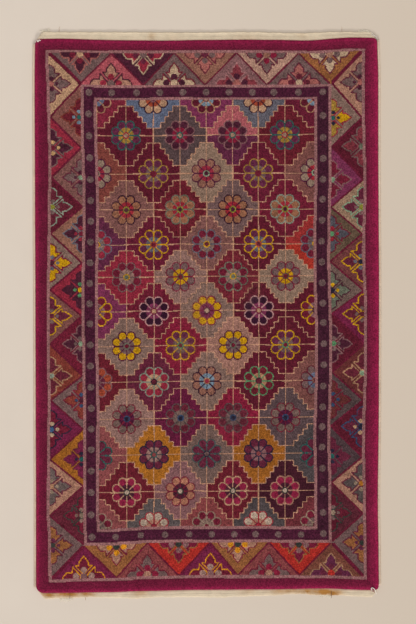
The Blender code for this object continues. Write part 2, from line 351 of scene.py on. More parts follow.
def draw_tiles():
    """The stepped grounds and the gold lines."""
    for (row, column), (ground, *_) in zip(ROSETTE_PLACES, ROSETTE_WOOLS):
        mine = (OWNER_ROW == row) & (OWNER_COLUMN == column)
        far_wool, _, near_wool = ground.partition("/")
        knot_in(mine, far_wool)
        if near_wool:
            knot_in(mine & (ALONG < ROWS[row]), near_wool)
    knot_in(borders_of(TILE), "gold_line")
    for column in COLUMNS:
        line = column + SWAY * np.sin(ALONG / SWAY_ALONG + column)
        knot_in(np.abs(ACROSS - line) < LATTICE_HALF, "gold_line")
    for row in ROWS[:-1]:       # the last row of rosettes sits on the mauve line
        line = row + SWAY * np.sin(ACROSS / SWAY_ACROSS + row)
        knot_in(np.abs(ALONG - line) < LATTICE_HALF, "gold_line")


def draw_rosette(row, column, petals, outline, inner, eye_ring, eye):
    """One rosette, ring by ring from the outside."""
    close = np.hypot(ACROSS - COLUMNS[column], ALONG - ROWS[row]) < REACH
    x, y = ACROSS[close] - COLUMNS[column], ALONG[close] - ROWS[row]
    radius, angle = np.hypot(x, y), np.arctan2(y, x)
    petal_angle = (np.floor(angle / EIGHTH) + 0.5) * EIGHTH
    to_petal = np.hypot(x - PETAL_RING * np.cos(petal_angle), y - PETAL_RING * np.sin(petal_angle))
    to_spoke = np.abs(np.sin(angle - np.round(angle / EIGHTH) * EIGHTH)) * radius
    part = chart[close]
    part[(to_petal < PETAL_EDGE) | (radius < PETAL_RING - SPOKE)] = WOOL_NUMBER[outline]
    petal = (to_petal < PETAL) | ((radius < PETAL_RING) & (radius > INNER_RING) & (to_spoke > SPOKE))
    part[petal & (to_spoke > THIN_SPOKE)] = WOOL_NUMBER[petals]
    part[(radius < INNER_RING) & (to_spoke > THIN_SPOKE)] = WOOL_NUMBER[inner]
    part[radius < EYE_RING] = WOOL_NUMBER[eye_ring]
    part[radius < EYE] = WOOL_NUMBER[eye]
    chart[close] = part


draw_tiles()
for (row, column), (_, *wools) in zip(ROSETTE_PLACES, ROSETTE_WOOLS):
    draw_rosette(row, column, *wools)
print("wools used in the field:", len(np.unique(chart)))

# %% [markdown]
# ## The border of triangles
#
# A zigzag runs round the border and leaves a row of triangles on each side of it, each with
# half a palmette growing from its base. The places where the zigzag turns were set by eye
# when the rug was woven, so they are a table, and so are the wools, one line a triangle.

# %% Where the zigzag turns, and the wools of the triangles
OUTER_TURNS = {     # places along the side where the zigzag touches the outer line
    "left": (-526.4, -378.3, -223.1, -74.2, 68.1, 216.4, 364.5, 523.9),
    "right": (-527.8, -378.7, -228.1, -80.0, 61.4, 210.8, 354.6, 518.0),
    "far": (-252.6, -85.4, 80.5, 245.0), "near": (-241.1, -75.8, 81.0, 243.6),
}
INNER_TURNS = {     # and where it touches the middle line
    "left": (-604.8, -449.7, -299.3, -158.2, -0.7, 139.2, 286.9, 442.6, 611.5),
    "right": (-605.4, -448.4, -298.8, -156.3, -1.1, 137.4, 281.6, 442.1, 612.1),
    "far": (-335.3, -167.0, -3.7, 159.8, 327.0), "near": (-328.0, -159.1, 8.2, 163.8, 328.5),
}
# ground, fill, outline, accent, base disc, from the near end to the far end or from left to right
OUTER_WOOLS = {
    "left": """
grey ochre_brown plum violet dark_green
tan_pink stone plum pale_grey camel
mulberry crimson navy cream sea_blue
rust maroon camel maroon sage
mauve_brown plum yellow grey plum
taupe yellow magenta blue_grey dark_plum
wine maroon sage grey olive
crimson_red dark_plum grey straw crimson
cream_tan grey plum dark_plum salmon""",
    "right": """
grey ochre_brown plum violet dark_green
tan_pink slate plum pale_grey ochre
wine plum deep_blue cream_tan navy
dark_rust maroon camel maroon pale_green
mulberry maroon yellow grey maroon
rosewood plum yellow blue_grey navy
beige plum pale_green mauve olive
wine garnet grey maroon grey_green
tan_pink grey plum dark_plum salmon""",
    "far": """
grey dark_plum salmon crimson cream_tan
dark_plum crimson_red cream plum grey
tan salmon maroon grey plum
shell grey plum bright_crimson tan
ochre_brown cream plum grey tan_pink""",
    "near": """
mulberry crimson amber dove mauve
dusty_rose grey crimson bright_crimson tan_pink
mulberry crimson amber dove mauve
dusty_rose grey crimson bright_crimson tan_pink
brown violet camel plum vermilion""",
}
INNER_WOOLS = {
    "left": """
maroon crimson dark_green taupe pale_grey
bronze mulberry plum navy teal
grey rust crimson deep_blue dark_plum
crimson dark_plum mauve grey pale_green
crimson_red dark_plum dark_plum green yellow
tan dark_plum blue_grey crimson_red crimson
mauve_taupe grey plum dark_plum pale_green
umber dark_red rust light_blue teal""",
    "right": """
dark_maroon wine dark_green grey pale_grey
peat plum plum navy teal
dark_grey dark_rust crimson deep_blue maroon
wine dark_plum mauve grey green
grey_taupe grey_green dark_plum yellow navy
olive_brown smoke crimson red green
purple crimson mauve maroon pale_green
taupe mustard/yellow crimson_red navy teal""",
    "far": """
rose tan_pink dark_plum crimson_red grey
grey cream crimson dark_plum cream
mauve garnet mauve_line dark_plum salmon
grey salmon plum maroon cream""",
    "near": """
ochre_brown tan_pink magenta amber dark_green
vermilion magenta ochre_brown mauve dark_green
ochre_brown tan_pink magenta amber dark_green
vermilion magenta ochre_brown mauve dark_green""",
}
all_wools = (*OUTER_WOOLS.values(), *INNER_WOOLS.values())
print("triangles:", sum(len(wools.strip().splitlines()) for wools in all_wools))

# %% [markdown]
# ## The half palmette
#
# The flower on each triangle is a pair of leaves, a bud, two stems and a disc. It is given
# once, as three short outlines in millimetres for its left half, and mirrored by taking the
# distance from its middle. A knot is an outline knot where it is close to the outline's line.

# %% A half palmette
LEAF = ((-57, -2), (-53, 8), (-46, 15.5), (-31, 15.5), (-29, 30.5), (-8, 6), (-8, -2))
BUD = ((0, 59), (-7, 50), (-12, 43), (-13, 33.5), (-22.5, 33.5), (-4, 12), (0, 8))
STEM, LINED_STEM = ((6, 11), (28, 34.5)), ((6, 11), (22, 29))     # the stem's end is open
STEM_HALF, STEM_EDGE = 2.0, 4.0
OUTLINE_HALF = {"left": 1.7, "right": 1.7, "far": 1.7, "near": 1.45}
CLEAR_EDGE = 0.6        # mm of a bud's edge that an accent leaves free
SMALL_SPOTS = (16, 5.5, 6.0), (0, 20, 5.0), (0, 4, 7.4)     # leaf, bud, disc: across, up, radius
LARGE_SPOTS = (20.5, 6, 8.6), (0, 22.5, 8.2), (0, 5, 9.2)
SPOTS = {"left": SMALL_SPOTS, "right": SMALL_SPOTS, "far": LARGE_SPOTS, "near": LARGE_SPOTS}
FLOWER_SIZE = {     # along the band and across it, for the outer and for the inner row
    "left": ((0.9, 0.97), (0.89, 0.88)), "right": ((0.95, 0.94), (0.9, 0.9)),
    "far": ((0.95, 0.95), (1.0, 1.0)), "near": ((1.0, 1.0), (0.92, 0.92)),
}


def inside(x, y, outline):
    """Which places lie inside an outline, by counting the lines that they cross."""
    found = np.zeros(x.shape, bool)
    for (x0, y0), (x1, y1) in zip(outline, outline[1:] + outline[:1]):
        if y0 != y1:
            found ^= ((y0 <= y) != (y1 <= y)) & (x < x0 + (x1 - x0) * (y - y0) / (y1 - y0))
    return found


def to_segment(x, y, start, end):
    """How far each place is from a straight piece of line."""
    dx, dy = end[0] - start[0], end[1] - start[1]
    way = np.clip(((x - start[0]) * dx + (y - start[1]) * dy) / (dx * dx + dy * dy), 0, 1)
    return np.hypot(x - start[0] - dx * way, y - start[1] - dy * way)


def to_line(x, y, outline):
    """How far each place is from a line of several pieces."""
    return np.minimum.reduce([to_segment(x, y, start, end) for start, end in zip(outline, outline[1:])])


def draw_palmette(mask, x, y, spots, outline_half, ground, fill, outline, accent, disc):
    """A half palmette on its triangle: x from the base's middle, y up towards the apex."""
    x, y = np.abs(x[mask]), y[mask]
    part = chart[mask]
    in_leaf, in_bud = inside(-x, y, LEAF), inside(-x, y, BUD)
    to_edge = np.minimum(to_line(-x, y, LEAF), to_line(-x, y, BUD))
    within = to_edge >= outline_half
    leaf_spot, bud_spot, base_disc = (np.hypot(x - across, y - up) < radius for across, up, radius in spots)
    leaf_wool, _, bud_wool = fill.partition("/")
    part[~within] = WOOL_NUMBER[outline]
    part[in_leaf & within] = WOOL_NUMBER[leaf_wool]
    part[in_bud & within] = WOOL_NUMBER[bud_wool or leaf_wool]
    part[in_leaf & leaf_spot & within] = WOOL_NUMBER[accent]
    part[in_bud & bud_spot & (to_edge >= CLEAR_EDGE)] = WOOL_NUMBER[accent]
    part[to_segment(x, y, *LINED_STEM) < STEM_EDGE] = WOOL_NUMBER[outline]
    part[to_segment(x, y, *STEM) < STEM_HALF] = WOOL_NUMBER[ground]
    part[base_disc] = WOOL_NUMBER[disc]
    chart[mask] = part


print("outline points in the flower:", len(LEAF) + len(BUD) + len(STEM))

# %% Knotting the border
ZIGZAG_HALF = {"left": 2.6, "right": 2.6, "far": 2.1, "near": 2.3}
MITRE_HALF = 5.0        # the zigzag's half width where two sides meet
SLANT = 0.70            # the zigzag is this much thinner square to its run than along the band
MEAN_HEIGHT = 85        # mm across the band of triangles
NO_ZIGZAG = 9           # deeper than any knot of the band


def draw_triangles(number, side):
    """The triangles and palmettes along one side, and the zigzag between them."""
    place, share = station(side), side_share(side)
    band = (NEAREST_SIDE == number) & (BAND >= TRIANGLES) & (BAND < MIDDLE_LINE)
    depth = BAND - TRIANGLES
    outer, inner = OUTER_TURNS[side], INNER_TURNS[side]
    zigzag = np.interp(place, *zip(*sorted([(at, 0.0) for at in outer] + [(at, 1.0) for at in inner])))
    zigzag = np.where((place < inner[0]) | (place > inner[-1]), NO_ZIGZAG, zigzag)
    height = eased(GUARD[side], share) - eased(RIM[side], share) - sum(LINE_WIDTHS[side][:2])
    rows = (
        (np.searchsorted(outer, place), OUTER_WOOLS[side], inner, depth * height, depth < zigzag),
        (np.searchsorted(inner, place) - 1, INNER_WOOLS[side], outer, (1 - depth) * height, depth >= zigzag),
    )
    for (size_along, size_up), (slots, wools, bases, from_base, on_this_side) in zip(FLOWER_SIZE[side], rows):
        for slot, line in enumerate(wools.strip().splitlines()):
            mask = band & on_this_side & (slots == slot)
            ground, *others = line.split()
            knot_in(mask, ground)
            draw_palmette(mask, (place - bases[slot]) / size_along, from_base / size_up, SPOTS[side],
                          OUTLINE_HALF[side], ground, *others)
    knot_in(band & (np.abs(depth - zigzag) * height * SLANT < ZIGZAG_HALF[side]), "zigzag")


knot_in(BAND < FIELD, "mauve_line")
in_guard = (BAND >= GUARD_BAND) & (BAND < INNER_LINE)
knot_in(in_guard, "guard_plum")
knot_in(in_guard & (NEAREST_SIDE == SIDES.index("right")), "guard_dark")
knot_in(BAND < OUTER_LINE, "magenta")
for number, side in enumerate(SIDES):
    draw_triangles(number, side)
nearest, second = np.sort(DEPTHS, axis=0)[:2]
knot_in((nearest >= TRIANGLES) & (nearest < MIDDLE_LINE)
        & ((second - nearest) * MEAN_HEIGHT * SLANT < MITRE_HALF), "zigzag")
print("knots in the border:", int((BAND < FIELD).sum()))

# %% [markdown]
# ## The dots of the guard stripe
#
# Round grey dots sit along the middle of the dark stripe, one in each corner and the rest
# between, so a count and two corners place all of them. They were counted off by eye, so
# along each side they drift a few millimetres from even, and a short table says how far.

# %% The dots
DOT_RADIUS = {"left": 9.0, "right": 9.0, "far": 9.0, "near": 8.4}
DOTS_ALONG, DOTS_ACROSS = 22, 11
DOT_CORNERS = {"left": -308.0, "right": 307.0, "far": 590.0, "near": -584.0}
DOT_DRIFT = {       # share of the way along the side, mm
    "left": ((0.0, 0.0), (0.1, 5.5), (0.17, 7.0), (0.3, 4.0), (0.47, 4.0), (0.55, -0.5), (0.65, -3.5),
             (0.8, -6.5), (1.0, 0.0)),
    "right": ((0.05, 0.0), (0.1, 5.0), (0.2, 6.0), (0.3, 0.5), (0.48, 1.0), (0.55, -5.0), (0.75, -6.5),
              (0.83, -10.5), (0.93, -10.5), (1.0, -1.0)),
    "far": ((0.0, -2.5), (0.1, -4.5), (0.2, 0.0), (0.7, -1.0), (0.8, -6.0), (0.9, -2.0), (1.0, -2.5)),
    "near": ((0.0, 1.0), (0.1, 3.5), (0.2, 8.5), (0.4, 14.5), (0.6, 11.0), (0.7, 6.0), (0.9, 4.0), (1.0, 1.0)),
}


def draw_dots(side):
    """One row of dots. The corner dots belong to the left and right rows."""
    upright = side in ("left", "right")
    ends = ("near", "far") if upright else ("left", "right")
    half = HALF_WIDTH if upright else HALF_LENGTH
    shares = np.linspace(0, 1, DOTS_ALONG if upright else DOTS_ACROSS)
    first, last = (DOT_CORNERS[end] for end in ends)
    places = first + (last - first) * shares + eased(DOT_DRIFT[side], shares)
    for place in places if upright else places[1:-1]:
        share = 0.5 + place / (LOOM_LENGTH if upright else LOOM_WIDTH)
        middle = half - float(eased(GUARD[side], share)) - GUARD_WIDTH[side] / 2
        middle = -middle if side in ("left", "near") else middle
        x, y = (middle, place) if upright else (place, middle)
        knot_in(np.hypot(ACROSS - x, ALONG - y) < DOT_RADIUS[side], "dot_grey")


for side in SIDES:
    draw_dots(side)
print("dots:", 2 * (DOTS_ALONG + DOTS_ACROSS - 2))

# %% [markdown]
# ## From wools to knots with a life behind them
#
# Colour alone isn't raised on this rug, so from here on the chart is only colour. The plain
# rim was one lot of wool. Where its pile leans out at the edge it catches the light, and that
# is painted as a sheen, brightest at the outer edge and darkening inwards to the mauve line.
# In the field five places are worn a little and look washed out, their colours run together.
# Both are worked out knot by knot, because a smooth change over whole bands can't be had from
# the chart's plain wools. Towards the right side a painted shade darkens the knots a little,
# where the light falls off. Last, tufts stand together in small clumps, two knots by two, each
# a little lighter or darker.

# %% Painted sheen, painted shade and wear, knot by knot
# painted sheen on the rim: the bright tone where the pile leans out and catches the light, the dark tone
# inwards
RIM_SHEEN_TONE, RIM_DARK = linear((149, 28, 70)), linear((84, 23, 41))
RIM_SHEEN_SHARES = {       # share of the rim's width, how much of the bright tone the painted sheen gives
    "left": ((0.0, 1.0), (0.15, 0.8), (0.37, 0.38), (0.62, 0.26), (0.83, 0.22), (1.0, 0.16)),
    "right": ((0.0, 1.0), (0.15, 0.96), (0.37, 0.62), (0.62, 0.48), (0.83, 0.3), (1.0, 0.14)),
    "far": ((0.0, 0.9), (0.15, 0.78), (0.45, 0.42), (0.75, 0.3), (1.0, 0.16)),
    "near": ((0.0, 0.85), (0.15, 0.74), (0.45, 0.34), (0.8, 0.25), (1.0, 0.16)),
}
FIELD_TONE = (0.98, 0.955, 0.975)       # the field's dyes have dulled a little more than the border's
RIGHT_PAINTED_SHADE = ((150, 1.0), (300, 0.97), (380, 0.93))     # across, brightness: painted shade, the right side a little darker where the light falls off
WORN = (       # across, along, half width, half length, how far the colours have run together
    (-32, 20, 62, 70, 0.32), (-51, -93, 74, 56, 0.18), (120, 60, 40, 60, 0.15), (-230, 250, 50, 60, 0.2),
    (60, -300, 60, 50, 0.15),
)
LEANING = 0.03          # share of a tuft that lies over its neighbours
WASH_REACH, WASH_GREY, WASH_COLOUR = 3, 0.15, (128, 96, 88)     # knots each way, share of the grey, the grey
WEAR_EDGE = 1.6         # how fast the wear fades out towards its edge
knot_colour = linear(list(WOOLS.values()))[chart]
knot_colour *= np.where((BAND >= FIELD)[..., None], FIELD_TONE, 1)
# painted shade, darker towards the right side
knot_colour *= np.interp(ACROSS, *zip(*RIGHT_PAINTED_SHADE))[..., None]
# painted sheen: each rim knot lies between the dark tone and the bright one
sheen_share = np.choose(NEAREST_SIDE, [eased(RIM_SHEEN_SHARES[side], BAND) for side in SIDES])
rim_colour = RIM_DARK + (RIM_SHEEN_TONE - RIM_DARK) * sheen_share[..., None]
knot_colour = np.where((BAND < OUTER_LINE)[..., None], rim_colour, knot_colour)


def run_together(colour, reach):
    """Each knot's colour averaged with its neighbours'."""
    steps = range(-reach, reach + 1)
    shifted = [np.roll(colour, (row, column), (0, 1)) for row in steps for column in steps]
    return sum(shifted) / len(shifted)


knot_colour = (1 - LEANING) * knot_colour + LEANING * run_together(knot_colour, 1)
washed = run_together(knot_colour, WASH_REACH) * (1 - WASH_GREY) + WASH_GREY * linear(WASH_COLOUR)
wear = np.zeros(chart.shape)
for across, along, half_width, half_length, strength in WORN:
    distance = np.hypot((ACROSS - across) / half_width, (ALONG - along) / half_length)
    wear = np.maximum(wear, strength * np.clip(WEAR_EDGE - WEAR_EDGE * distance, 0, 1))
wear *= BAND >= FIELD
knot_colour += (washed - knot_colour) * wear[..., None]

CLUMPING = {"rim": 0.03, "guard": 0.17, "rest": 0.13}       # how much lighter or darker a clump of tufts may be
clump_strength = np.where(in_guard, CLUMPING["guard"], CLUMPING["rest"])
clump_strength = np.where(BAND < OUTER_LINE, CLUMPING["rim"], clump_strength)
clumps = np.random.default_rng(29).normal(0, 1, (KNOTS_ALONG // 2, KNOTS_ACROSS // 2)).clip(-2, 2)
knot_colour *= (1 + clump_strength * clumps.repeat(2, 0).repeat(2, 1))[..., None]
print("worn share of the field:", round(float((wear > 0.1).sum() / (BAND >= FIELD).sum()), 3))

# %% [markdown]
# ## From the loom to the floor
#
# On the floor the four edges stray by some millimetres and the corners are rounded. These
# are the solid model's tables, so that the yarn covers the solid. Two places follow the
# picture more closely than the solid does: the far rim is drawn in a little, and the far
# right corner is rounder. The solid was then centred on the origin, and comparing boxes
# gives that last shift.

# %% Laying a place of the loom on the floor
PILE_THICKNESS, SHOULDER, SWELL = 11.0, 4.5, 0.5
LEFT_STRAY = ((0.0, -1.9), (0.16, -1.9), (0.35, -1.1), (0.53, -0.3), (0.71, 0.8), (0.93, 1.9), (1.0, 0.8))
RIGHT_STRAY = ((0.0, 1.2), (0.06, 0.3), (0.16, -1.6), (0.35, 1.1), (0.53, 1.6), (0.82, -0.5), (0.93, -0.4),
               (1.0, -3.2))
FAR_STRAY = ((0.0, 1.0), (0.07, 2.1), (0.25, -1.3), (0.33, -1.9), (0.48, -0.8), (0.77, -0.3), (0.92, 5.6),
             (1.0, 4.2))
NEAR_STRAY = ((0.0, 6.8), (0.05, 6.6), (0.2, 4.8), (0.33, 1.3), (0.48, -1.6), (0.66, -2.7), (0.84, -5.0),
              (0.96, -1.3), (1.0, -0.8))
FAR_DRAWN_IN = ((0.0, 0.0), (0.06, 0.1), (0.16, 0.7), (0.3, 0.9), (0.4, 1.7), (0.5, 0.8), (0.61, 0.1),
                (0.7, 1.0), (0.82, 3.2), (0.88, 1.8), (0.94, 0.2), (1.0, 0.0))
DRAWN_DEPTH = 30.0      # mm of the pile, counted from its far edge, in which this is felt
CORNER_RADIUS = {"far": (12.0, 10.5), "near": (19.0, 11.0)}      # left and right corner


def corner_radius(across, along):
    """The radius of the nearest corner."""
    far, near = (np.where(across > 0, right, left) for left, right in CORNER_RADIUS.values())
    return np.where(along > 0, far, near)


def rounded(across, along):
    """Draws a place in, so that the rectangle's corners are arcs."""
    radius = corner_radius(across, along)
    way_x = (np.abs(across) - (HALF_WIDTH - radius)) / radius
    way_y = (np.abs(along) - (HALF_LENGTH - radius)) / radius
    at_corner = (way_x > 0) & (way_y > 0)
    way_x, way_y = np.where(at_corner, way_x, 0), np.where(at_corner, way_y, 0)
    pull_x = radius * way_x * (1 - np.sqrt(1 - way_y ** 2 / 2))
    pull_y = radius * way_y * (1 - np.sqrt(1 - way_x ** 2 / 2))
    return across - np.sign(across) * pull_x, along - np.sign(along) * pull_y


def drawn_in(across, along):
    """How far the pile is drawn in near its far edge."""
    felt = np.clip(1 - (HALF_LENGTH - along) / DRAWN_DEPTH, 0, 1)
    return eased(FAR_DRAWN_IN, 0.5 + across / LOOM_WIDTH) * felt


def strayed(across, along):
    """Where a place on the loom comes to lie, in millimetres."""
    right_share, far_share = 0.5 + across / LOOM_WIDTH, 0.5 + along / LOOM_LENGTH
    left, right = eased(LEFT_STRAY, far_share) * (1 - right_share), eased(RIGHT_STRAY, far_share) * right_share
    near, far = eased(NEAR_STRAY, right_share) * (1 - far_share), eased(FAR_STRAY, right_share) * far_share
    return across + right - left, along + far - near - drawn_in(across, along)


EDGE_ACROSS, EDGE_ALONG = np.linspace(-1, 1, 400) * HALF_WIDTH, np.linspace(-1, 1, 600) * HALF_LENGTH
left_edge, right_edge = (strayed(sign * HALF_WIDTH + 0 * EDGE_ALONG, EDGE_ALONG)[0] for sign in (-1, 1))
near_edge, far_edge = (strayed(EDGE_ACROSS, sign * HALF_LENGTH + 0 * EDGE_ACROSS)[1] for sign in (-1, 1))
solid_far_edge = far_edge + drawn_in(EDGE_ACROSS, HALF_LENGTH)
pile_low, pile_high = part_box("pile")
CENTRING = ((pile_low.x + pile_high.x) / 2 - (left_edge.min() + right_edge.max()) / 2 * MM,
            (pile_low.y + pile_high.y) / 2 - (near_edge.min() + solid_far_edge.max()) / 2 * MM)


def on_floor(x, y, height):
    """Metres in the solid model's frame, from millimetres on the floor."""
    return np.stack(np.broadcast_arrays(x * MM + CENTRING[0], y * MM + CENTRING[1], height * MM), axis=-1)


wider = pile_high.x - pile_low.x - (right_edge.max() - left_edge.min()) * MM
print("centring shift, mm:", [round(shift / MM, 2) for shift in CENTRING], "box wider by:", round(wider, 5))

# %% [markdown]
# ## A thick cloth as a closed mesh
#
# The pile and both webs are thick cloths with a flat underside. Each is a grid of points
# for the top, a wall dropped from its rim, and one face below. Written as lists it takes
# one call, and the faces come out in a known order, which the colours need later.

# %% A closed cloth from the grid of its top
CREASE = math.radians(50)       # where faces meet more sharply than this, the edge stays sharp


def cloth_mesh(name, top):
    """A closed mesh from top[row, column] = (x, y, z), rows from near to far, with walls down to the floor.

    Gives also the number of faces on top and, for each face's corner, the grid point at it or above it."""
    rows, columns, _ = top.shape
    index = np.arange(rows * columns).reshape(rows, columns)
    quads = np.stack([index[:-1, :-1], index[:-1, 1:], index[1:, 1:], index[1:, :-1]], axis=-1).reshape(-1, 4)
    rim = np.concatenate([index[0, :-1], index[:-1, -1], index[-1, :0:-1], index[:0:-1, 0]])
    below = rows * columns + np.arange(len(rim))
    walls = np.stack([below, np.roll(below, -1), np.roll(rim, -1), rim], axis=-1)
    points = np.concatenate([top.reshape(-1, 3), top.reshape(-1, 3)[rim] * (1, 1, 0)])
    mesh = bpy.data.meshes.new(name)
    mesh.from_pydata(points.tolist(), [], [*quads.tolist(), *walls.tolist(), below[::-1].tolist()])
    mesh.shade_smooth()
    mesh.set_sharp_from_angle(angle=CREASE)
    corners = np.concatenate([quads.ravel(), walls.ravel(), below[::-1]])
    return mesh, len(quads), np.concatenate([index.ravel(), rim])[corners]


def add_map(mesh, name, places):
    """A UV map, from a place for each corner."""
    mesh.uv_layers.new(name=name).data.foreach_set("uv", places.astype(np.float32).ravel())


def add_colours(mesh, name, colours):
    """A colour attribute, from a colour for each corner."""
    rgba = np.ones((len(mesh.loops), 4), np.float32)
    rgba[:, :3] = colours
    mesh.color_attributes.new(name, "FLOAT_COLOR", "CORNER").data.foreach_set("color", rgba.ravel())


def link(name, data):
    """Puts a new object in the scene, at the origin."""
    made = bpy.data.objects.new(name, data)
    bpy.context.scene.collection.objects.link(made)
    return made


print("cloth maker ready, creases from", round(math.degrees(CREASE)), "degrees")

# %% [markdown]
# ## The knotted pile
#
# 376,000 knots are too many faces for one piece, so a face carries two by two knots. Close
# lines at the rim round the shoulder, and every point of the top rises or sinks by a tenth
# of a millimetre or two, because no shears cut a pile quite level. The four knots of a face
# go into four colour attributes, and a map in knot units tells the material which of the
# four it is looking at. An image would be easier, but the chart stays sharp at any size.

# %% The pile's mesh
SHOULDER_LINES = (0.0, 0.8, 2.1)        # extra grid lines at the rim, mm
UNEVEN, MISSED = 0.16, 0.4              # how far the shears missed, usually and at most, mm
THIN_CELLS = len(SHOULDER_LINES) - 1
shears = np.random.default_rng(11)


def grid_lines(length, knots):
    """Lines every two knots, and the rim's extra lines at both ends."""
    pitch = 2 * length / knots
    inner = [pitch * cell for cell in range(1, knots // 2)]
    outer = [length - line for line in reversed(SHOULDER_LINES)]
    return np.array([*SHOULDER_LINES, *inner, *outer]) - length / 2


def pile_height(across, along):
    """The top of the pile in mm: a rounded shoulder at the rim and a slow swell between."""
    from_edge = np.minimum(HALF_WIDTH - np.abs(across), HALF_LENGTH - np.abs(along))
    inwards = np.clip(from_edge / SHOULDER, 0, 1)
    swell = np.sin((7.1 * across + 2.3 * along) * MM) + np.cos((9.7 * along - 4.2 * across) * MM)
    return PILE_THICKNESS - SHOULDER * (1 - np.sqrt(1 - (1 - inwards) ** 2)) + SWELL * swell / 2


grid_across, grid_along = np.meshgrid(grid_lines(LOOM_WIDTH, KNOTS_ACROSS),
                                      grid_lines(LOOM_LENGTH, KNOTS_ALONG))
missed = shears.normal(0, UNEVEN, grid_across.shape).clip(-MISSED, MISSED)
pile_top = on_floor(*strayed(*rounded(grid_across, grid_along)), pile_height(grid_across, grid_along) + missed)
pile_mesh, pile_cells, pile_tops = cloth_mesh("pile_wool", pile_top)
pile_wool = link("pile_wool", pile_mesh)
print("pile:", pile_cells, "cells,", len(pile_mesh.loops) - 2 * len(pile_mesh.polygons), "triangles")

# %% The pile's knots: one map and four colour attributes
QUARTERS = {"knot_near_left": (0, 0), "knot_near_right": (0, 1),       # first row and column of each
            "knot_far_left": (1, 0), "knot_far_right": (1, 1)}
loom_points = np.stack([grid_across / KNOT + KNOTS_ACROSS / 2, grid_along / KNOT + KNOTS_ALONG / 2], axis=-1)
add_map(pile_mesh, "Knots", loom_points.reshape(-1, 2)[pile_tops])
cell_row, cell_column = (np.clip(np.arange(lines - 1) - THIN_CELLS, 0, knots // 2 - 1)
                         for lines, knots in zip(grid_across.shape, (KNOTS_ALONG, KNOTS_ACROSS)))
for name, (row, column) in QUARTERS.items():
    colours = np.tile(knot_colour[0, 0], (len(pile_tops), 1))       # the walls take the rim's first knot
    quarter = knot_colour[row::2, column::2][np.ix_(cell_row, cell_column)]
    colours[:4 * pile_cells] = quarter.reshape(-1, 3).repeat(4, 0)
    add_colours(pile_mesh, name, colours)
print("knot attributes:", [layer.name for layer in pile_mesh.color_attributes])

# %% [markdown]
# ## A helper for node trees
#
# A material or a Geometry Nodes tree is nodes, values and links. One small class keeps the
# trees readable here: it adds a node, fills its inputs and hands back its outputs. An input
# given another node's output is linked. The common nodes have a short call of their own.

# %% The helper, a group and a material
class Net:
    """A node tree in the making."""

    def __init__(self, tree):
        self.tree = tree

    def give(self, socket, value):
        """Links a socket to another node's output, or else sets its value."""
        if isinstance(value, bpy.types.NodeSocket):
            self.tree.links.new(value, socket)
        else:
            socket.default_value = value

    def node(self, kind, inputs=None, **settings):
        """Adds a node and gives its outputs."""
        made = self.tree.nodes.new(kind)
        for name, value in settings.items():
            setattr(made, name, value)
        for key, value in (inputs or {}).items():
            self.give(made.inputs[key], value)
        return made.outputs

    def maths(self, operation, *values):
        return self.node("ShaderNodeMath", dict(enumerate(values)), operation=operation)[0]

    def times(self, first, second):
        return self.maths("MULTIPLY", first, second)

    def vector(self, operation, *values, **named):
        return self.node("ShaderNodeVectorMath", {**dict(enumerate(values)), **named}, operation=operation)[0]

    def apart(self, vector):
        return self.node("ShaderNodeSeparateXYZ", {0: vector})

    def mixed(self, factor, first, second, blend_type="MIX"):
        return self.node("ShaderNodeMix", {0: factor, 6: first, 7: second}, data_type="RGBA",
                         blend_type=blend_type)[2]

    def noise(self, scale, detail, output=0, **named):
        return self.node("ShaderNodeTexNoise", {"Scale": scale, "Detail": detail, **named})[output]

    def place(self):
        return self.node("ShaderNodeTexCoord")["Object"]

    def group(self, tree, inputs):
        return self.node("ShaderNodeGroup", inputs, node_tree=tree)


def new_group(name, kind, inputs, outputs):
    """A named group. An input is given as its socket's kind, or as a number that is its usual value."""
    tree = bpy.data.node_groups.new(name, kind)
    for label, value in inputs.items():
        socket = value if isinstance(value, str) else type(value).__name__.capitalize()
        made = tree.interface.new_socket(label, in_out="INPUT", socket_type="NodeSocket" + socket)
        if socket != value:
            made.default_value = value
    for label in outputs:
        socket = label if label in ("Color", "Geometry") else "Float"
        tree.interface.new_socket(label, in_out="OUTPUT", socket_type="NodeSocket" + socket)
    print("group:", name)
    return Net(tree), tree.nodes.new("NodeGroupInput").outputs, tree.nodes.new("NodeGroupOutput").inputs


def new_finish(name, roughness, sheen=0.0, tint=(1, 1, 1), specular=0.2):
    """A material, with the constant values set on its own Principled shader."""
    made = bpy.data.materials.new(name)
    made.use_nodes = True
    shader = made.node_tree.nodes["Principled BSDF"].inputs
    constants = {"Roughness": roughness, "Specular IOR Level": specular, "Sheen Weight": sheen,
                 "Sheen Roughness": 0.5, "Sheen Tint": (*tint, 1)}
    for key, value in constants.items():
        shader[key].default_value = value
    return made, Net(made.node_tree), shader


def paint(colour):
    """A colour as seen, as a socket takes it."""
    return (*linear(colour), 1)


print("helpers ready: Net, new_group, new_finish, paint")

# %% [markdown]
# ## Knots that can be seen
#
# Close by, a cut pile is a field of small soft heads, each leaning its own way, with gaps
# between the rows. No two knots take the dye alike. One group makes both from the map in
# knot units: a dome for each knot, lifted or sunk by its own random number, and a shade
# that joins each knot's own dye to a painted shade in the gaps between the knots. A bump is
# right for the domes, because a knot is finer than the mesh.

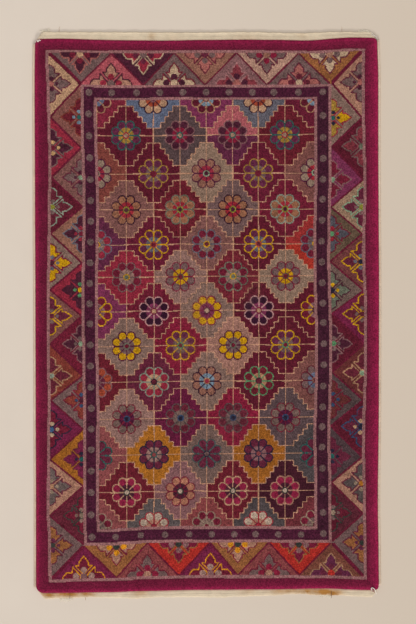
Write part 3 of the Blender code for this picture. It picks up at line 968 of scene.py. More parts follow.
# %% The group "knot heads"
net, given, put = new_group("knot heads", "ShaderNodeTree",
                            {"Knots": "Vector", "Uneven": 0.6, "Shade Spread": 0.12}, ("Height", "Shade"))
knot_heads = net.tree
whole, within = (net.vector(part, given["Knots"]) for part in ("FLOOR", "FRACTION"))
lot = net.node("ShaderNodeTexWhiteNoise", {"Vector": whole}, noise_dimensions="2D")["Value"]
bow_x, bow_y = (net.maths("SINE", net.times(net.apart(within)[axis], math.pi)) for axis in (0, 1))
dome = net.maths("POWER", net.times(bow_x, bow_y), 0.6)
lifted = net.maths("MULTIPLY_ADD", lot, given["Uneven"], dome)
fibres = net.noise(3.1, 2.0, Vector=given["Knots"])
net.give(put["Height"], net.maths("MULTIPLY_ADD", fibres, 0.5, lifted))
spread = net.times(net.maths("SUBTRACT", lot, 0.5), given["Shade Spread"])
# painted shade: darker in the gaps between the knots, lighter on their tops
gap_shade = net.maths("MULTIPLY_ADD", dome, 0.14, 0.9)
net.give(put["Shade"], net.times(gap_shade, net.maths("MULTIPLY_ADD", spread, 2.0, 1.0)))

# %% [markdown]
# ## Dye lots, mottling and dust
#
# Yarn was dyed in small lots, so colour shifts in bands across the rug, in the direction
# that the weaver worked. Feet and light add soft mottling, and fine dust greys the wool.
# Every textile here uses the same group with its own amounts, so they age together.

# %% The group "dye and age", and what every textile ends in
AGEING = {"Band Strength": 0.12, "Mottle Strength": 0.15, "Mottle Scale": 22.0, "Dust": 0.06}
BAND_STRETCH = (0.8, 26.0, 1.0)
DUST = (0.34, 0.27, 0.22, 1)
net, given, put = new_group("dye and age", "ShaderNodeTree", {"Color": "Color", "Place": "Vector", **AGEING},
                            ("Color",))
dye_and_age = net.tree
bands = net.noise(1.0, 3.0, Vector=net.vector("MULTIPLY", given["Place"], BAND_STRETCH), Roughness=0.65)
mottle = net.noise(given["Mottle Scale"], 4.0, Vector=given["Place"], Roughness=0.7)
band_tone, mottle_tone = (net.times(net.maths("SUBTRACT", cloud, 0.5), given[strength])
                          for cloud, strength in zip((bands, mottle), AGEING))
tone = net.maths("ADD", 1.0, net.times(net.maths("ADD", band_tone, mottle_tone), 4.0))
toned = net.mixed(1.0, given["Color"], tone, "MULTIPLY")
dust_cloud = net.noise(60.0, 3.0, Vector=given["Place"])
net.give(put["Color"], net.mixed(net.times(dust_cloud, given["Dust"]), toned, DUST))


def dress(net, shader, colour, ageing, relief, strength, depth=0.0003, shade=None):
    """Ages a colour by the four amounts, shades it, and raises the relief as a bump of so many metres."""
    aged = net.group(dye_and_age, {"Color": colour, "Place": net.place(), **dict(zip(AGEING, ageing))})["Color"]
    net.give(shader["Base Color"], aged if shade is None else net.mixed(1.0, aged, shade, "MULTIPLY"))
    bump = net.node("ShaderNodeBump", {"Strength": strength, "Distance": depth, "Height": relief})[0]
    net.give(shader["Normal"], bump)


# %% [markdown]
# ## The pile's material
#
# The map in knot units says which quarter of a face is seen, and so which of the four
# attributes is the knot's wool. Wool scatters light at its edges like velvet, so the shader
# has some sheen, tinted as the fibre's own oily lustre.

# %% The pile's material
WOOL_ROUGHNESS, WOOL_SHINE = 0.92, 0.04
wool_finish, net, shader = new_finish("knotted_wool", WOOL_ROUGHNESS, 0.03, (1.0, 0.7, 0.68), WOOL_SHINE)
knots = net.node("ShaderNodeUVMap", uv_map="Knots")[0]
in_pairs = [net.times(net.apart(knots)[axis], 0.5) for axis in (0, 1)]
right_half, far_half = (net.maths("GREATER_THAN", net.maths("FRACT", pairs), 0.5) for pairs in in_pairs)
near_left, near_right, far_left, far_right = (net.node("ShaderNodeAttribute", attribute_name=name)["Color"]
                                              for name in QUARTERS)
near_row, far_row = net.mixed(right_half, near_left, near_right), net.mixed(right_half, far_left, far_right)
heads = net.group(knot_heads, {"Knots": knots, "Uneven": 0.8, "Shade Spread": 0.42})
dress(net, shader, net.mixed(far_half, near_row, far_row), (0.12, 0.14, 24.0, 0.012), heads["Height"], 0.7,
      0.0006, heads["Shade"])
pile_mesh.materials.append(wool_finish)
print("pile finish:", wool_finish.name, len(net.tree.nodes), "nodes")

# %% [markdown]
# ## The cotton webs
#
# Before and after the pile the weaver made a strip of plain cotton, and later turned it
# back on itself in long folds. Its colour carries painted light and shade: brightest on the
# outer fold, greyer in the valleys and, at the near end, beside the pile, and at the far end
# painted brighter beside the pile, where the pile's shadow falls. It is ochre where it was
# wetted. The shape is the solid's with finer folds, and the painted light and the stains are
# worked out point by point, where the folds are known.

# %% Places on a web
GAP = 0.3               # mm between pieces that touch
END_SIGN = {"far": 1, "near": -1}
WEB_REACH = {  # share of the way from left to right, mm from the pile to the outer line
    "far": ((0.0, 20.4), (0.25, 20.2), (0.45, 19.0), (0.62, 20.6), (0.78, 17.6), (0.9, 20.8), (1.0, 19.6)),
    "near": ((0.0, 23.2), (0.08, 21.0), (0.15, 18.4), (0.22, 20.0), (0.28, 22.2), (0.36, 18.4), (0.46, 18.2),
             (0.53, 19.6), (0.6, 16.6), (0.68, 14.4), (0.77, 9.8), (0.83, 12.8), (0.9, 13.6), (0.96, 17.0),
             (1.0, 17.8)),
}
RAGGED = 0.4            # mm that the outer line wavers
WAVERS = ((3.1, 1.0, 0), (1.3, 0.7, 1), (7.7, 0.9, 2))      # mm along for one part in 2 pi, share, start
WEB_SLANT = {"far": (14.0, 12.0), "near": (15.0, 13.0)}      # mm that the outer line is drawn in at either side
FOLDS = {      # share of the way out, height in mm
    "far": ((0.0, 3.6), (0.1, 4.0), (0.24, 3.9), (0.3, 3.7), (0.38, 4.1), (0.5, 4.1), (0.56, 3.8), (0.64, 4.3),
            (0.74, 4.4), (0.8, 4.1), (0.87, 4.5), (0.94, 4.2), (1.0, 2.6)),
    "near": ((0.0, 3.0), (0.1, 3.6), (0.22, 3.8), (0.34, 3.7), (0.42, 3.1), (0.5, 3.3), (0.62, 3.4),
             (0.72, 2.8), (0.8, 3.0), (0.92, 2.6), (1.0, 1.2)),
}


def rim_place(end, across, out):
    """A place on the pile's rim at one end, moved straight outwards, in mm on the floor."""
    sign = END_SIGN[end]
    radius = corner_radius(across, np.full(np.shape(across), sign))
    past = np.abs(across) - (HALF_WIDTH - radius)
    way = np.clip(past / radius, 0, 1)
    round_x = np.sign(across) * (HALF_WIDTH - radius + (radius + out) * way * math.sqrt(0.5))
    round_y = sign * (HALF_LENGTH - radius + (radius + out) * np.sqrt(1 - way ** 2 / 2))
    straight_y = sign * (HALF_LENGTH + out) + 0 * across
    return strayed(np.where(past > 0, round_x, across), np.where(past > 0, round_y, straight_y))


def web_place(end, across, share_out):
    """A place on a web, beside a place of the pile's rim and out by a share of the web's width."""
    inner_x, inner_y = rim_place(end, across, GAP)
    right_share = 0.5 + across / LOOM_WIDTH
    slant_left, slant_right = WEB_SLANT[end]
    slant = slant_left * (1 - right_share) ** 4 - slant_right * right_share ** 4
    ragged = RAGGED * sum(share * np.sin(across / pace + start) for pace, share, start in WAVERS)
    reach = eased(WEB_REACH[end], right_share)
    outer_x, outer_y = inner_x + slant, END_SIGN[end] * (HALF_LENGTH + reach + ragged)
    return inner_x + (outer_x - inner_x) * share_out, inner_y + (outer_y - inner_y) * share_out


inner_line, outer_line = (web_place("far", np.array(0.0), share)[1] for share in (0, 1))
print("far web, mm wide:", round(float(outer_line - inner_line), 1))

# %% The webs' meshes, their painted light and their stains
WEB_COLUMNS, WEB_ROWS = 420, 34
FLAT_END = 9.0          # mm at each end of a web, over which it runs out flat
WEB_PAINTED_LIGHT = {  # share of the way out, brightness: painted light and shade of the folds, and at the far end painted light against the pile's shadow
    "far": ((0.0, 1.28), (0.15, 1.3), (0.3, 1.24), (0.42, 1.14), (0.55, 1.0), (0.7, 0.98), (0.82, 1.12),
            (1.0, 1.14)),
    "near": ((0.0, 0.82), (0.12, 0.9), (0.3, 0.95), (0.42, 0.85), (0.55, 0.93), (0.72, 0.93), (0.86, 1.03),
             (1.0, 0.94)),
}
STAINS = {     # across, half width, strength, share of the way out where it is strongest
    "far": ((-146, 9, 0.5, 0.5), (-92, 22, 0.12, 0.3), (112, 40, 0.18, 0.2), (258, 14, 0.2, 0.6)),
    "near": ((-425, 28, 0.95, 0.3), (-375, 50, 1.1, 0.3), (-325, 24, 1.0, 0.35), (-180, 22, 0.6, 0.2),
             (110, 26, 0.35, 0.2), (212, 44, 0.8, 0.3), (272, 40, 1.05, 0.45), (312, 30, 1.35, 0.5),
             (342, 22, 1.15, 0.7)),
}
STAIN_FALL = 0.55       # share of the web's width over which a stain fades
MAP_DEPTH = 20          # mm that the map gives a web, from the pile outwards
ruffle = np.random.default_rng(23)


def make_web(end):
    """One web, with its map in mm, and at every corner its tone, which is painted light and shade, and its
    stain.
    """
    ends = (0, 1) if end == "far" else (1, 0)
    across, out = np.meshgrid(np.linspace(-HALF_WIDTH, HALF_WIDTH, WEB_COLUMNS), np.linspace(*ends, WEB_ROWS))
    wander = 0.035 * np.sin(across / 31 + 1.3) + 0.025 * np.sin(across / 12.7) + 0.02 * np.sin(across / 71)
    folds = np.interp(np.clip(out + wander * np.sin(math.pi * out), 0, 1), *zip(*FOLDS[end]))
    pucker = 1 + 0.07 * np.sin(across / 9.5 + 4 * out) + 0.05 * np.sin(across / 3.9)
    from_end = np.clip((HALF_WIDTH - np.abs(across)) / FLAT_END, 0, 1)
    height = (folds * pucker + ruffle.normal(0, 0.05, folds.shape)) * (0.4 + 0.6 * np.sqrt(from_end))
    mesh, _, tops = cloth_mesh(f"web_cotton_{end}", on_floor(*web_place(end, across, out), height))
    # painted light and shade along the folds, and at the far end against the pile's shadow
    tone = np.interp(np.clip(out + wander, 0, 1), *zip(*WEB_PAINTED_LIGHT[end]))
    stain = np.max([strength * np.exp(-((across - middle) / half) ** 2 - ((out - deep) / STAIN_FALL) ** 2)
                    for middle, half, strength, deep in STAINS[end]], axis=0)
    add_map(mesh, "Weave", np.stack([across, out * MAP_DEPTH], axis=-1).reshape(-1, 2)[tops])
    for name, value in (("tone", tone), ("stain", stain)):
        add_colours(mesh, name, value.ravel()[tops][:, None])
    return link(f"web_cotton_{end}", mesh)


webs = {end: make_web(end) for end in END_SIGN}
print("webs:", {end: len(web.data.polygons) for end, web in webs.items()}, "faces")

# %% [markdown]
# ## Plain weave and twisted yarn
#
# The webs are plain-woven: each thread goes over one and under one. The cords and loose ends
# are two-ply yarn, whose plies run round it aslant. Both are ribs that follow the piece, so
# one group makes ribs from a map, and crosses them where it is told to.

# %% The group "thread ribs"
net, given, put = new_group("thread ribs", "ShaderNodeTree",
                            {"Map": "Vector", "Pitch Across": 1.0, "Pitch Along": 1.0, "Irregular": 0.4},
                            ("Height", "Shade"))
thread_ribs = net.tree
loose = net.noise(0.35, 2.0, 1, Vector=given["Map"])
moved = net.vector("ADD", given["Map"], net.vector("SCALE", loose, Scale=given["Irregular"]))
wave_across, wave_along = (
    net.maths("SINE", net.times(net.maths("DIVIDE", net.apart(moved)[axis], given[pitch]), math.pi))
    for axis, pitch in enumerate(("Pitch Across", "Pitch Along")))
over_under = net.times(wave_across, wave_along)
net.give(put["Height"], over_under)
# painted shade: darker where a thread dips under, lighter where it passes over
net.give(put["Shade"], net.maths("MULTIPLY_ADD", over_under, 0.08, 0.96))

# %% The cotton's material
COTTON, STAIN_OCHRE = (224, 205, 176), (172, 117, 46)
cotton_finish, net, shader = new_finish("web_cotton", 0.88, 0.08, (1.0, 0.95, 0.85))
weave_map = net.node("ShaderNodeUVMap", uv_map="Weave")[0]
# the tone attribute is painted light and shade along the folds
tone = net.node("ShaderNodeAttribute", attribute_name="tone")["Color"]
stain = net.node("ShaderNodeAttribute", attribute_name="stain")["Fac"]
ribs = net.group(thread_ribs, {"Map": weave_map, "Pitch Across": 1.6, "Pitch Along": 0.9, "Irregular": 0.5})
blotch = net.noise(70.0, 4.0, Vector=net.place(), Roughness=0.7)
soaked = net.times(stain, net.maths("MULTIPLY_ADD", blotch, 1.6, 0.1))
stained = net.mixed(soaked, net.mixed(1.0, paint(COTTON), tone, "MULTIPLY"), paint(STAIN_OCHRE))
dress(net, shader, stained, (0.0, 0.14, 38.0, 0.1), ribs["Height"], 0.6, shade=ribs["Shade"])
for web in webs.values():
    web.data.materials.append(cotton_finish)
print("cotton finish on", [web.name for web in webs.values()])

# %% A yarn's material, and the beige wool
BEIGE_WOOL = (232, 208, 183)


def yarn_finish(name, colour, tint=(1.0, 0.95, 0.9), plies=(1400.0, 1100.0), pitches=(0.8, 1.1), irregular=0.5,
                ageing=(0.0, 0.15, 150.0, 0.12), bump=0.5):
    """One wool or cotton, mottled, with its plies as ribs."""
    made, net, shader = new_finish(name, 0.9, 0.15, tint)
    turned = net.vector("MULTIPLY", net.place(), (*plies, plies[0]))
    ribs = net.group(thread_ribs, {"Map": turned, "Pitch Across": pitches[0], "Pitch Along": pitches[1],
                                   "Irregular": irregular})
    dress(net, shader, paint(colour), ageing, ribs["Height"], bump)
    return made


beige_finish = yarn_finish("beige_overcast", BEIGE_WOOL, (1.0, 0.93, 0.85), (900.0, 700.0), (0.9, 1.3), 0.8,
                           (0.05, 0.12, 30.0, 0.15), 0.4)
side_cords = {side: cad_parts[f"side_cord_{side}"] for side in ("left", "right")}
for cord in side_cords.values():
    cord.material_slots[0].material = beige_finish
print("beige wool on the two side cords")

# %% [markdown]
# ## Overcast sides
#
# A bundle of warps runs down each side, and beige wool is wound round it in close turns to
# bind the edge. The bundle's solid has the right shape and stays. The turns repeat nearly
# six hundred times a side along a path, which is what Geometry Nodes are for: the path is
# cut at the turns' pitch, and one arched stitch is set on every point, no two quite alike.

# %% What every tree here shares
def plain_mesh(name, paths, tree, values):
    """Runs a tree on straight-sided paths, lists of points in metres, and keeps the result as a plain piece."""
    curve = bpy.data.curves.new("path", "CURVE")
    curve.dimensions = "3D"
    for points in paths:
        spline = curve.splines.new("POLY")
        spline.points.add(len(points) - 1)
        for point, place in zip(spline.points, points):
            point.co = (*place, 1)
    carrier = link("path", curve)
    modifier = carrier.modifiers.new("maker", "NODES")
    modifier.node_group = tree
    sockets = {item.name: item.identifier for item in tree.interface.items_tree if item.in_out == "INPUT"}
    for label, value in values.items():
        modifier[sockets[label]] = value
    bpy.context.view_layer.update()
    mesh = bpy.data.meshes.new_from_object(carrier.evaluated_get(bpy.context.evaluated_depsgraph_get()))
    mesh.name = name
    carrier.modifiers.remove(modifier)
    bpy.data.objects.remove(carrier)
    return link(name, mesh)


def cut_path(net, given, pitch):
    """The path cut into even lengths."""
    return net.node("GeometryNodeResampleCurve", {"Curve": given["Geometry"], "Length": given[pitch]},
                    mode="LENGTH")[0]


def smooth(net, geometry):
    return net.node("GeometryNodeSetShadeSmooth", {"Geometry": geometry})[0]


def swept_yarn(net, curve, sides, radius, **named):
    """A round yarn along a curve, closed at both ends."""
    profile = net.node("GeometryNodeCurvePrimitiveCircle", {"Resolution": sides, "Radius": radius})[0]
    swept = {"Curve": curve, "Profile Curve": profile, "Fill Caps": True, **named}
    return smooth(net, net.node("GeometryNodeCurveToMesh", swept)[0])


def random_vector(net, low, high, seed):
    return net.node("FunctionNodeRandomValue", {0: low, 1: high, "Seed": seed}, data_type="FLOAT_VECTOR")[0]


def set_on(net, path, instance, turn, size):
    """One copy on every point of the path."""
    return net.node("GeometryNodeInstanceOnPoints", {"Points": path, "Instance": instance, "Rotation": turn,
                                                     "Scale": size})[0]


def end_tree(net, put, geometry, finish):
    """Ends a tree as the export needs it: real meshes with a material."""
    real = net.node("GeometryNodeRealizeInstances", {"Geometry": geometry})[0]
    net.give(put["Geometry"], net.node("GeometryNodeSetMaterial", {"Geometry": real, "Material": finish})[0])


print("shared steps ready")

# %% The stitch tree and the two rows of turns
CORD_WIDTH, CORD_HEIGHT = 5.2, 6.8
STITCH_LIFT = 1.0       # mm, so that no turn dips into the floor
CORD_END, CORD_POINTS = 1.5, 300    # mm at each end without turns, and points in the cord's path
TURNS = {"Pitch": 2.5 * MM, "Half Width": (CORD_WIDTH / 2 + 0.35) * MM,
         "Rise": (CORD_HEIGHT + 0.1 - STITCH_LIFT) * MM, "Yarn": 0.95 * MM}
net, given, put = new_group("overcast stitches", "GeometryNodeTree", {"Geometry": "Geometry", **TURNS},
                            ("Geometry",))
stitch_tree = net.tree
arch = net.node("GeometryNodeCurveArc", {"Resolution": 7, "Radius": 1.0, "Start Angle": -0.1,
                                         "Sweep Angle": math.pi + 0.2})["Curve"]
arch_size = net.node("ShaderNodeCombineXYZ", {0: given["Half Width"], 1: given["Rise"], 2: 1.0})[0]
arch = net.node("GeometryNodeTransform", {"Geometry": arch, "Scale": arch_size,
                                          "Rotation": (math.pi / 2, 0, math.pi / 2)})[0]
stitch = swept_yarn(net, arch, 5, given["Yarn"])
tangent = net.node("GeometryNodeInputTangent")[0]
turn = net.node("FunctionNodeAlignRotationToVector", {"Vector": tangent}, axis="X", pivot_axis="Z")[0]
lean = random_vector(net, (-0.05, -0.06, 0.10), (0.05, 0.06, 0.42), 5)
lean = net.node("FunctionNodeEulerToRotation", {0: lean})[0]
turn = net.node("FunctionNodeRotateRotation", {0: turn, 1: lean}, rotation_space="LOCAL")[0]
size = random_vector(net, (0.9, 0.94, 0.93), (1.25, 1.06, 1.07), 8)
end_tree(net, put, set_on(net, cut_path(net, given, "Pitch"), stitch, turn, size), beige_finish)


def cord_path(side):
    """The middle of a side cord on the floor, drawn so that the rug is to its left."""
    sign = 1 if side == "right" else -1
    low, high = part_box(f"side_cord_{side}")
    start, end = low.y / MM - CENTRING[1] / MM + CORD_END, high.y / MM - CENTRING[1] / MM - CORD_END
    along = np.linspace(start, end, CORD_POINTS)[::sign]
    edge_x, edge_y = strayed(sign * HALF_WIDTH + 0 * along, along)
    return on_floor(edge_x + sign * (GAP + CORD_WIDTH / 2), edge_y, STITCH_LIFT + 0 * along)


overcast = [plain_mesh(f"overcast_{side}", [cord_path(side)], stitch_tree, TURNS) for side in side_cords]
print("overcast:", [len(turns.data.polygons) for turns in overcast], "faces")

# %% [markdown]
# ## The pile's soft edge
#
# Where the pile ends, the outermost knots have nothing to lean on and fall outwards in small
# tufts, so the rug's edge is never a clean line. Two rows of tufts follow the rim, an upper
# and a lower one. Each tuft is a short cone of a few faces, leaned outwards by a random amount.

# %% The tuft tree and the two rows
# painted highlight: the tufts' wool is a brighter copy of the rim's own, lighting the pile's shaded outer wall
RIM_TUFT_LIT = (164, 34, 80)
SIDE_POINTS = 500       # points on each side of the path round the pile
tuft_finish, net, shader = new_finish("rim_wool", WOOL_ROUGHNESS, 0.05, (1.0, 0.6, 0.7), WOOL_SHINE)
dress(net, shader, paint(RIM_TUFT_LIT), (0.08, 0.2, 160.0, 0.012), net.noise(2600.0, 2.0, Vector=net.place()), 0.5)

TUFTS = (       # name, mm in from the pile's edge, mm above the floor, length in mm, rise, seed
    ("rim_tufts_low", 1.5, 5.2, 1.9, 0.25, 3), ("rim_tufts_high", 2.6, 8.8, 2.2, 0.9, 9))
TUFT_SIZE = {"Pitch": 1.9 * MM, "Thickness": 0.95 * MM}
net, given, put = new_group("rim tufts", "GeometryNodeTree",
                            {"Geometry": "Geometry", **TUFT_SIZE, "Length": 3 * MM, "Rise": 0.5, "Seed": 3},
                            ("Geometry",))
tuft_tree = net.tree
cone = net.node("GeometryNodeMeshCone", {"Vertices": 5, "Side Segments": 2, "Radius Top": 0.25,
                                         "Radius Bottom": 1.0, "Depth": 1.0})[0]
outward = net.vector("CROSS_PRODUCT", net.node("GeometryNodeInputTangent")[0], (0, 0, 1))
way = net.vector("ADD", outward, net.node("ShaderNodeCombineXYZ", {2: given["Rise"]})[0])
way = net.vector("ADD", way, random_vector(net, (-0.5, -0.5, -0.35), (0.5, 0.5, 0.35), given["Seed"]))
turn = net.node("FunctionNodeAlignRotationToVector", {"Vector": way}, axis="Z")[0]
thickness = given["Thickness"]
measure = net.node("ShaderNodeCombineXYZ", {0: thickness, 1: thickness, 2: given["Length"]})[0]
size = net.vector("MULTIPLY", random_vector(net, (0.7, 0.7, 0.6), (1.25, 1.25, 1.35), 6), measure)
end_tree(net, put, set_on(net, cut_path(net, given, "Pitch"), smooth(net, cone), turn, size), tuft_finish)


def rim_path(inset, height):
    """Once round the pile, this far inside its edge, with the rug to the left, in metres."""
    corners = np.array([(-HALF_WIDTH, -HALF_LENGTH), (HALF_WIDTH, -HALF_LENGTH), (HALF_WIDTH, HALF_LENGTH),
                        (-HALF_WIDTH, HALF_LENGTH)])
    steps = np.linspace(0, 1, SIDE_POINTS, endpoint=False)[:, None]
    round_once = [start + (end - start) * steps for start, end in zip(corners, np.roll(corners, -1, 0))]
    x, y = rounded(*np.concatenate(round_once).T)
    return on_floor(*strayed(x * (1 - inset / HALF_WIDTH), y * (1 - inset / HALF_LENGTH)), height + 0 * x)


rim_tufts = [plain_mesh(name, [rim_path(inset, height)], tuft_tree,
                        {**TUFT_SIZE, "Length": length * MM, "Rise": rise, "Seed": seed})
             for name, inset, height, length, rise, seed in TUFTS]
print("tufts:", [len(tufts.data.polygons) for tufts in rim_tufts], "faces")

# %% [markdown]
# ## Frayed ends and loose yarns
#
# In four places the web's warp ends have worked loose and lie fanned out on the floor, and a
# few single threads, a tuft or two and a loop of white yarn lie at the edges. Each is a path,
# given one by one or made by a fixed random rule. One tree sweeps any path as yarn: it cuts it
# into short lengths, lets it wander a little, thins its end and gives it a round section.

# %% The yarn tree
net, given, put = new_group(
    "yarn along a path", "GeometryNodeTree",
    {"Geometry": "Geometry", "Segment": 1.2 * MM, "Thickness": 1.0 * MM, "Wander": 0.8 * MM, "Thin End": 0.5,
     "Finish": "Material"}, ("Geometry",))
yarn_tree = net.tree
drift = net.vector("SUBTRACT", net.noise(160.0, 1.0, 1), (0.5, 0.5, 0.5))
level = net.vector("MULTIPLY", net.vector("SCALE", drift, Scale=given["Wander"]), (1, 1, 0))
path = net.node("GeometryNodeSetPosition", {"Geometry": cut_path(net, given, "Segment"), "Offset": level})[0]
share = net.node("GeometryNodeSplineParameter")["Factor"]
thin = net.maths("SUBTRACT", 1.0, net.times(net.maths("POWER", share, 2.0), given["Thin End"]))
strand = swept_yarn(net, path, 6, net.times(given["Thickness"], 0.5), Scale=thin)
end_tree(net, put, strand, given["Finish"])


def lay_yarn(name, paths, thickness, finish, segment, wander, thin_end):
    """Paths swept as yarn, with its sizes in mm."""
    return plain_mesh(name, paths, yarn_tree, {"Segment": segment * MM, "Thickness": thickness * MM,
                                               "Wander": wander * MM, "Thin End": thin_end, "Finish": finish})


# %% The four frayed places
# name, end, share of the web where the tuft begins and ends, strands, mean length in mm, fan in degrees
FRAYED = (
    ("far_left", "far", 0.002, 0.028, 18, 9.5, (88, -10)),
    ("far_right", "far", 0.957, 0.985, 18, 10.0, (4, -96)),
    ("near_left", "near", 0.055, 0.095, 15, 8.5, (22, -16)),
    ("near_right", "near", 0.835, 0.87, 12, 8.0, (14, -12)),
)
STRAND = 1.4            # thickness of a warp end, mm
ROOT_GAP = GAP + 0.4    # mm from the web's outer line to the strands' roots
BENDS = 7               # points in a strand
STRAY, CURL = 9, 25     # degrees that a strand leans off its place in the fan, and curls, at most
DROOP = 1.2             # mm from a strand's root down to where it lies, at most
raw_cotton = yarn_finish("raw_cotton", (238, 227, 206))
fraying = np.random.default_rng(31)


def fray_paths(end, begin, finish, strands, length, fan):
    """Strands that leave the web's outer line and droop to the floor, and two threads along their roots."""
    sign = END_SIGN[end]
    paths = []
    for strand in range(strands):
        share = (strand + fraying.uniform(0.2, 0.8)) / strands
        root_across = (begin + (finish - begin) * share - 0.5) * LOOM_WIDTH
        root_x, root_y = (float(value) for value in web_place(end, np.array(root_across), 1))
        lean = math.radians(fan[0] + (fan[1] - fan[0]) * share + fraying.uniform(-STRAY, STRAY))
        curl = math.radians(fraying.uniform(-CURL, CURL))
        reach = length * fraying.uniform(0.5, 1.15)
        steps = np.linspace(0, 1, BENDS)
        angle = lean + curl * steps
        x = root_x - np.cumsum(np.sin(angle)) * reach / BENDS
        y = root_y + sign * ROOT_GAP + sign * np.cumsum(np.cos(angle)) * reach / BENDS
        height = STRAND / 2 + 0.1 + DROOP * (1 - steps) ** 2 * fraying.uniform(0.4, 1.0)
        paths.append(on_floor(x, y, height))
    across = (np.linspace(begin, finish, 12) - 0.5) * LOOM_WIDTH
    x, y = web_place(end, across, 1)
    for out in (0.0, 0.8):
        paths.append(on_floor(x, y + sign * (ROOT_GAP + out), STRAND / 2 + 0.15 + 0 * across))
    return paths


frays = {name: lay_yarn(f"frayed_{name}", fray_paths(*facts), STRAND, raw_cotton, segment=1.1, wander=0.9,
                        thin_end=0.5) for name, *facts in FRAYED}
print("frayed:", {name: len(fray.data.polygons) for name, fray in frays.items()}, "faces")

# %% Single yarns at the edges
YARN_WOOLS = {"white": (242, 234, 220), "dark": (84, 44, 44), "magenta": (120, 34, 60), "ochre": (160, 112, 66)}
YARN_FINISHES = {wool: yarn_finish(f"{wool}_yarn", colour) for wool, colour in YARN_WOOLS.items()}
# name, wool, thickness in mm, then places across, along and height in mm
LOOSE_YARNS = (
    ("yarn_loop", "white", 2.2, ((438.5, -729.5, 11.6), (434.5, -726.5, 12.2), (437, -722.5, 12.6),
        (442.5, -724.5, 12.5), (446.5, -730, 10.5), (448.5, -736, 6.0), (449.5, -741, 2.6))),
    ("yarn_knot", "magenta", 2.0, ((438, -731, 11.2), (442.5, -732.5, 10.0), (444.5, -736.5, 5.5))),
    ("yarn_notch", "white", 2.9, ((-454, 722, 8.0), (-449.5, 729.5, 9.5), (-448, 722.5, 11.6), (-445, 731, 9.0),
        (-442.5, 725, 12.0), (-439, 732, 6.0))),
    ("corner_strand_a", "white", 2.0, ((434, 751, 1.0), (439, 746.5, 2.6), (444, 741.5, 4.2), (449, 736.5, 4.8),
        (454, 730, 3.0))),
    ("corner_strand_b", "white", 1.8, ((428, 752, 1.0), (434, 745.5, 3.0), (441, 740.5, 5.2), (446, 739, 4.4),
        (453, 737.5, 1.4))),
    ("thread_far_left", "ochre", 0.8, ((-393, 750.5, 1.2), (-391.5, 755, 0.6), (-392.5, 760, 0.5),
        (-390.5, 765.5, 0.5))),
    ("thread_far_right", "ochre", 0.8, ((358.5, 750.5, 1.2), (357.5, 756, 0.6), (358.8, 761, 0.5),
        (357.8, 765, 0.5))),
    ("tuft_near_a", "white", 1.1, ((-375.5, -752, 1.4), (-374, -756, 0.8), (-373, -760, 0.7),
        (-374.5, -764.5, 0.6))),
    ("thread_near_a", "dark", 0.9, ((-364, -735, 5), (-363, -742, 4.6), (-364.5, -749, 3.2),
        (-363.5, -757.5, 0.7))),
    ("tuft_near_b", "ochre", 1.0, ((-322.5, -750, 1.2), (-322, -753.5, 0.7), (-321.6, -757, 0.6))),
    ("thread_near_b", "dark", 1.2, ((330, -733.5, 4.4), (331, -738, 4.2), (329.8, -744, 3.6),
        (330.8, -751, 1.0))),
)


def corners_cut(places, rounds=2):
    """A path with its corners cut, because yarn bends and never folds."""
    for _ in range(rounds):
        sooner, later = 0.75 * places[:-1] + 0.25 * places[1:], 0.25 * places[:-1] + 0.75 * places[1:]
        places = np.concatenate([places[:1], np.stack([sooner, later], axis=1).reshape(-1, 3), places[-1:]])
    return places


loose_yarns = [lay_yarn(name, [on_floor(*corners_cut(np.array(places, float)).T)], thickness,
                        YARN_FINISHES[wool], segment=0.9, wander=0.6, thin_end=0.4)
               for name, wool, thickness, places in LOOSE_YARNS]
print("loose yarns:", len(loose_yarns))

# %% [markdown]
# ## What moves with what
#
# Nothing on a rug moves, so every piece rides on the one body. A piece that stands for a
# solid is listed with that solid, which is hidden, and with the name of the record's finish.
# The other pieces ride on the same body too.

# %% Pieces and solids
ROOT_BODY = "root"
STAND_INS = [(pile_wool, "pile", "wool_pile"),
             *((web, f"end_web_{end}", "cotton_web") for end, web in webs.items()),
             *((fray, f"frayed_ends_{name}", "warp_ends") for name, fray in frays.items())]
for piece, solid, slot in STAND_INS:
    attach(piece, ROOT_BODY)
    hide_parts(solid)
EXTRAS = {"wool_overcast": overcast, "wool_pile": rim_tufts, "warp_ends": loose_yarns}
for slot, pieces in EXTRAS.items():
    for piece in pieces:
        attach(piece, ROOT_BODY)

# %% [markdown]
# ## Floor, light and camera
#
# The rug is seen from straight above on a plain pale floor. A broad sun, nearly overhead,
# gives every square metre the same light. A weaker and lower one from the near side throws
# a soft shadow past the far edge, and a pale sky fills the rest. The view is set to show
# the wools as they are, without a film look.

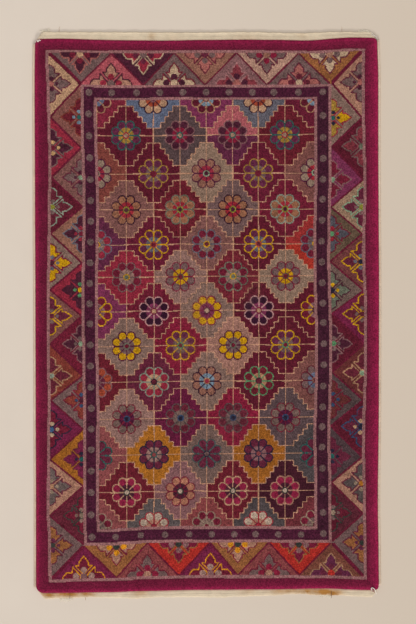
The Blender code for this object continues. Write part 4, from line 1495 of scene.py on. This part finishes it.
# %% The floor
FLOOR_COLOUR = (218, 204, 189)
FLOOR_PAINTED_SHADE = (207, 191, 173)      # painted shade: a little darker past the right side, where the light falls off
FLOOR_REACH = 6                    # metres each way
floor_finish, net, shader = new_finish("pale_floor", 0.75, specular=0.15)
cloud = net.noise(9.0, 3.0, Vector=net.place())
cloudy = net.mixed(cloud, *((*linear(FLOOR_COLOUR) * share, 1) for share in (0.97, 1.03)))
to_the_right = net.node("ShaderNodeMapRange", {"Value": net.apart(net.place())["X"], "From Min": -0.5,
                                               "From Max": 0.6})[0]
net.give(shader["Base Color"], net.mixed(to_the_right, cloudy, paint(FLOOR_PAINTED_SHADE)))
floor_mesh = bpy.data.meshes.new("floor")
floor_corners = [(FLOOR_REACH * x, FLOOR_REACH * y, 0) for x, y in ((-1, -1), (1, -1), (1, 1), (-1, 1))]
floor_mesh.from_pydata(floor_corners, [], [(0, 1, 2, 3)])
floor_mesh.materials.append(floor_finish)
link("floor", floor_mesh)
print("floor, metres across:", 2 * FLOOR_REACH)

# %% The light
# name, strength, tilt from overhead towards the near side, spread, both in degrees
SUNS = (("broad_sun", 1.03, 18, 50), ("low_sun", 1.55, 64, 12))
SUN_TURN = 5            # degrees
SKY_STRENGTH = 0.47
for name, strength, tilt, spread in SUNS:
    sun = link(name, bpy.data.lights.new(name, "SUN"))
    sun.data.energy, sun.data.angle = strength, math.radians(spread)
    sun.rotation_euler = (math.radians(tilt), 0, math.radians(SUN_TURN))
sky = bpy.data.worlds.new("pale_sky")
sky.use_nodes = True
sky_light = sky.node_tree.nodes["Background"].inputs
sky_light["Color"].default_value, sky_light["Strength"].default_value = (1, 1, 1, 1), SKY_STRENGTH
bpy.context.scene.world = sky
bpy.context.scene.view_settings.view_transform = "Standard"
print("suns:", [(name, 90 - tilt) for name, _, tilt, _ in SUNS], "degrees up, from the near side")

# %% The camera
VIEW_LENGTH = 1653.6    # mm of the floor from the picture's lower edge to its upper edge
VIEW_MIDDLE = (3.0, 7.7)
CAMERA_HEIGHT = 7.0     # metres
SENSOR = 24.0
camera = link("camera", bpy.data.cameras.new("camera"))
camera.data.sensor_fit = "VERTICAL"
camera.data.sensor_height = SENSOR
camera.data.lens = SENSOR * (CAMERA_HEIGHT - PILE_THICKNESS * MM) / (VIEW_LENGTH * MM)
camera.data.clip_end = 50.0
camera.location = (*on_floor(*VIEW_MIDDLE, CAMERA_HEIGHT / MM),)
bpy.context.scene.camera = camera
print("lens, mm:", round(camera.data.lens, 1))
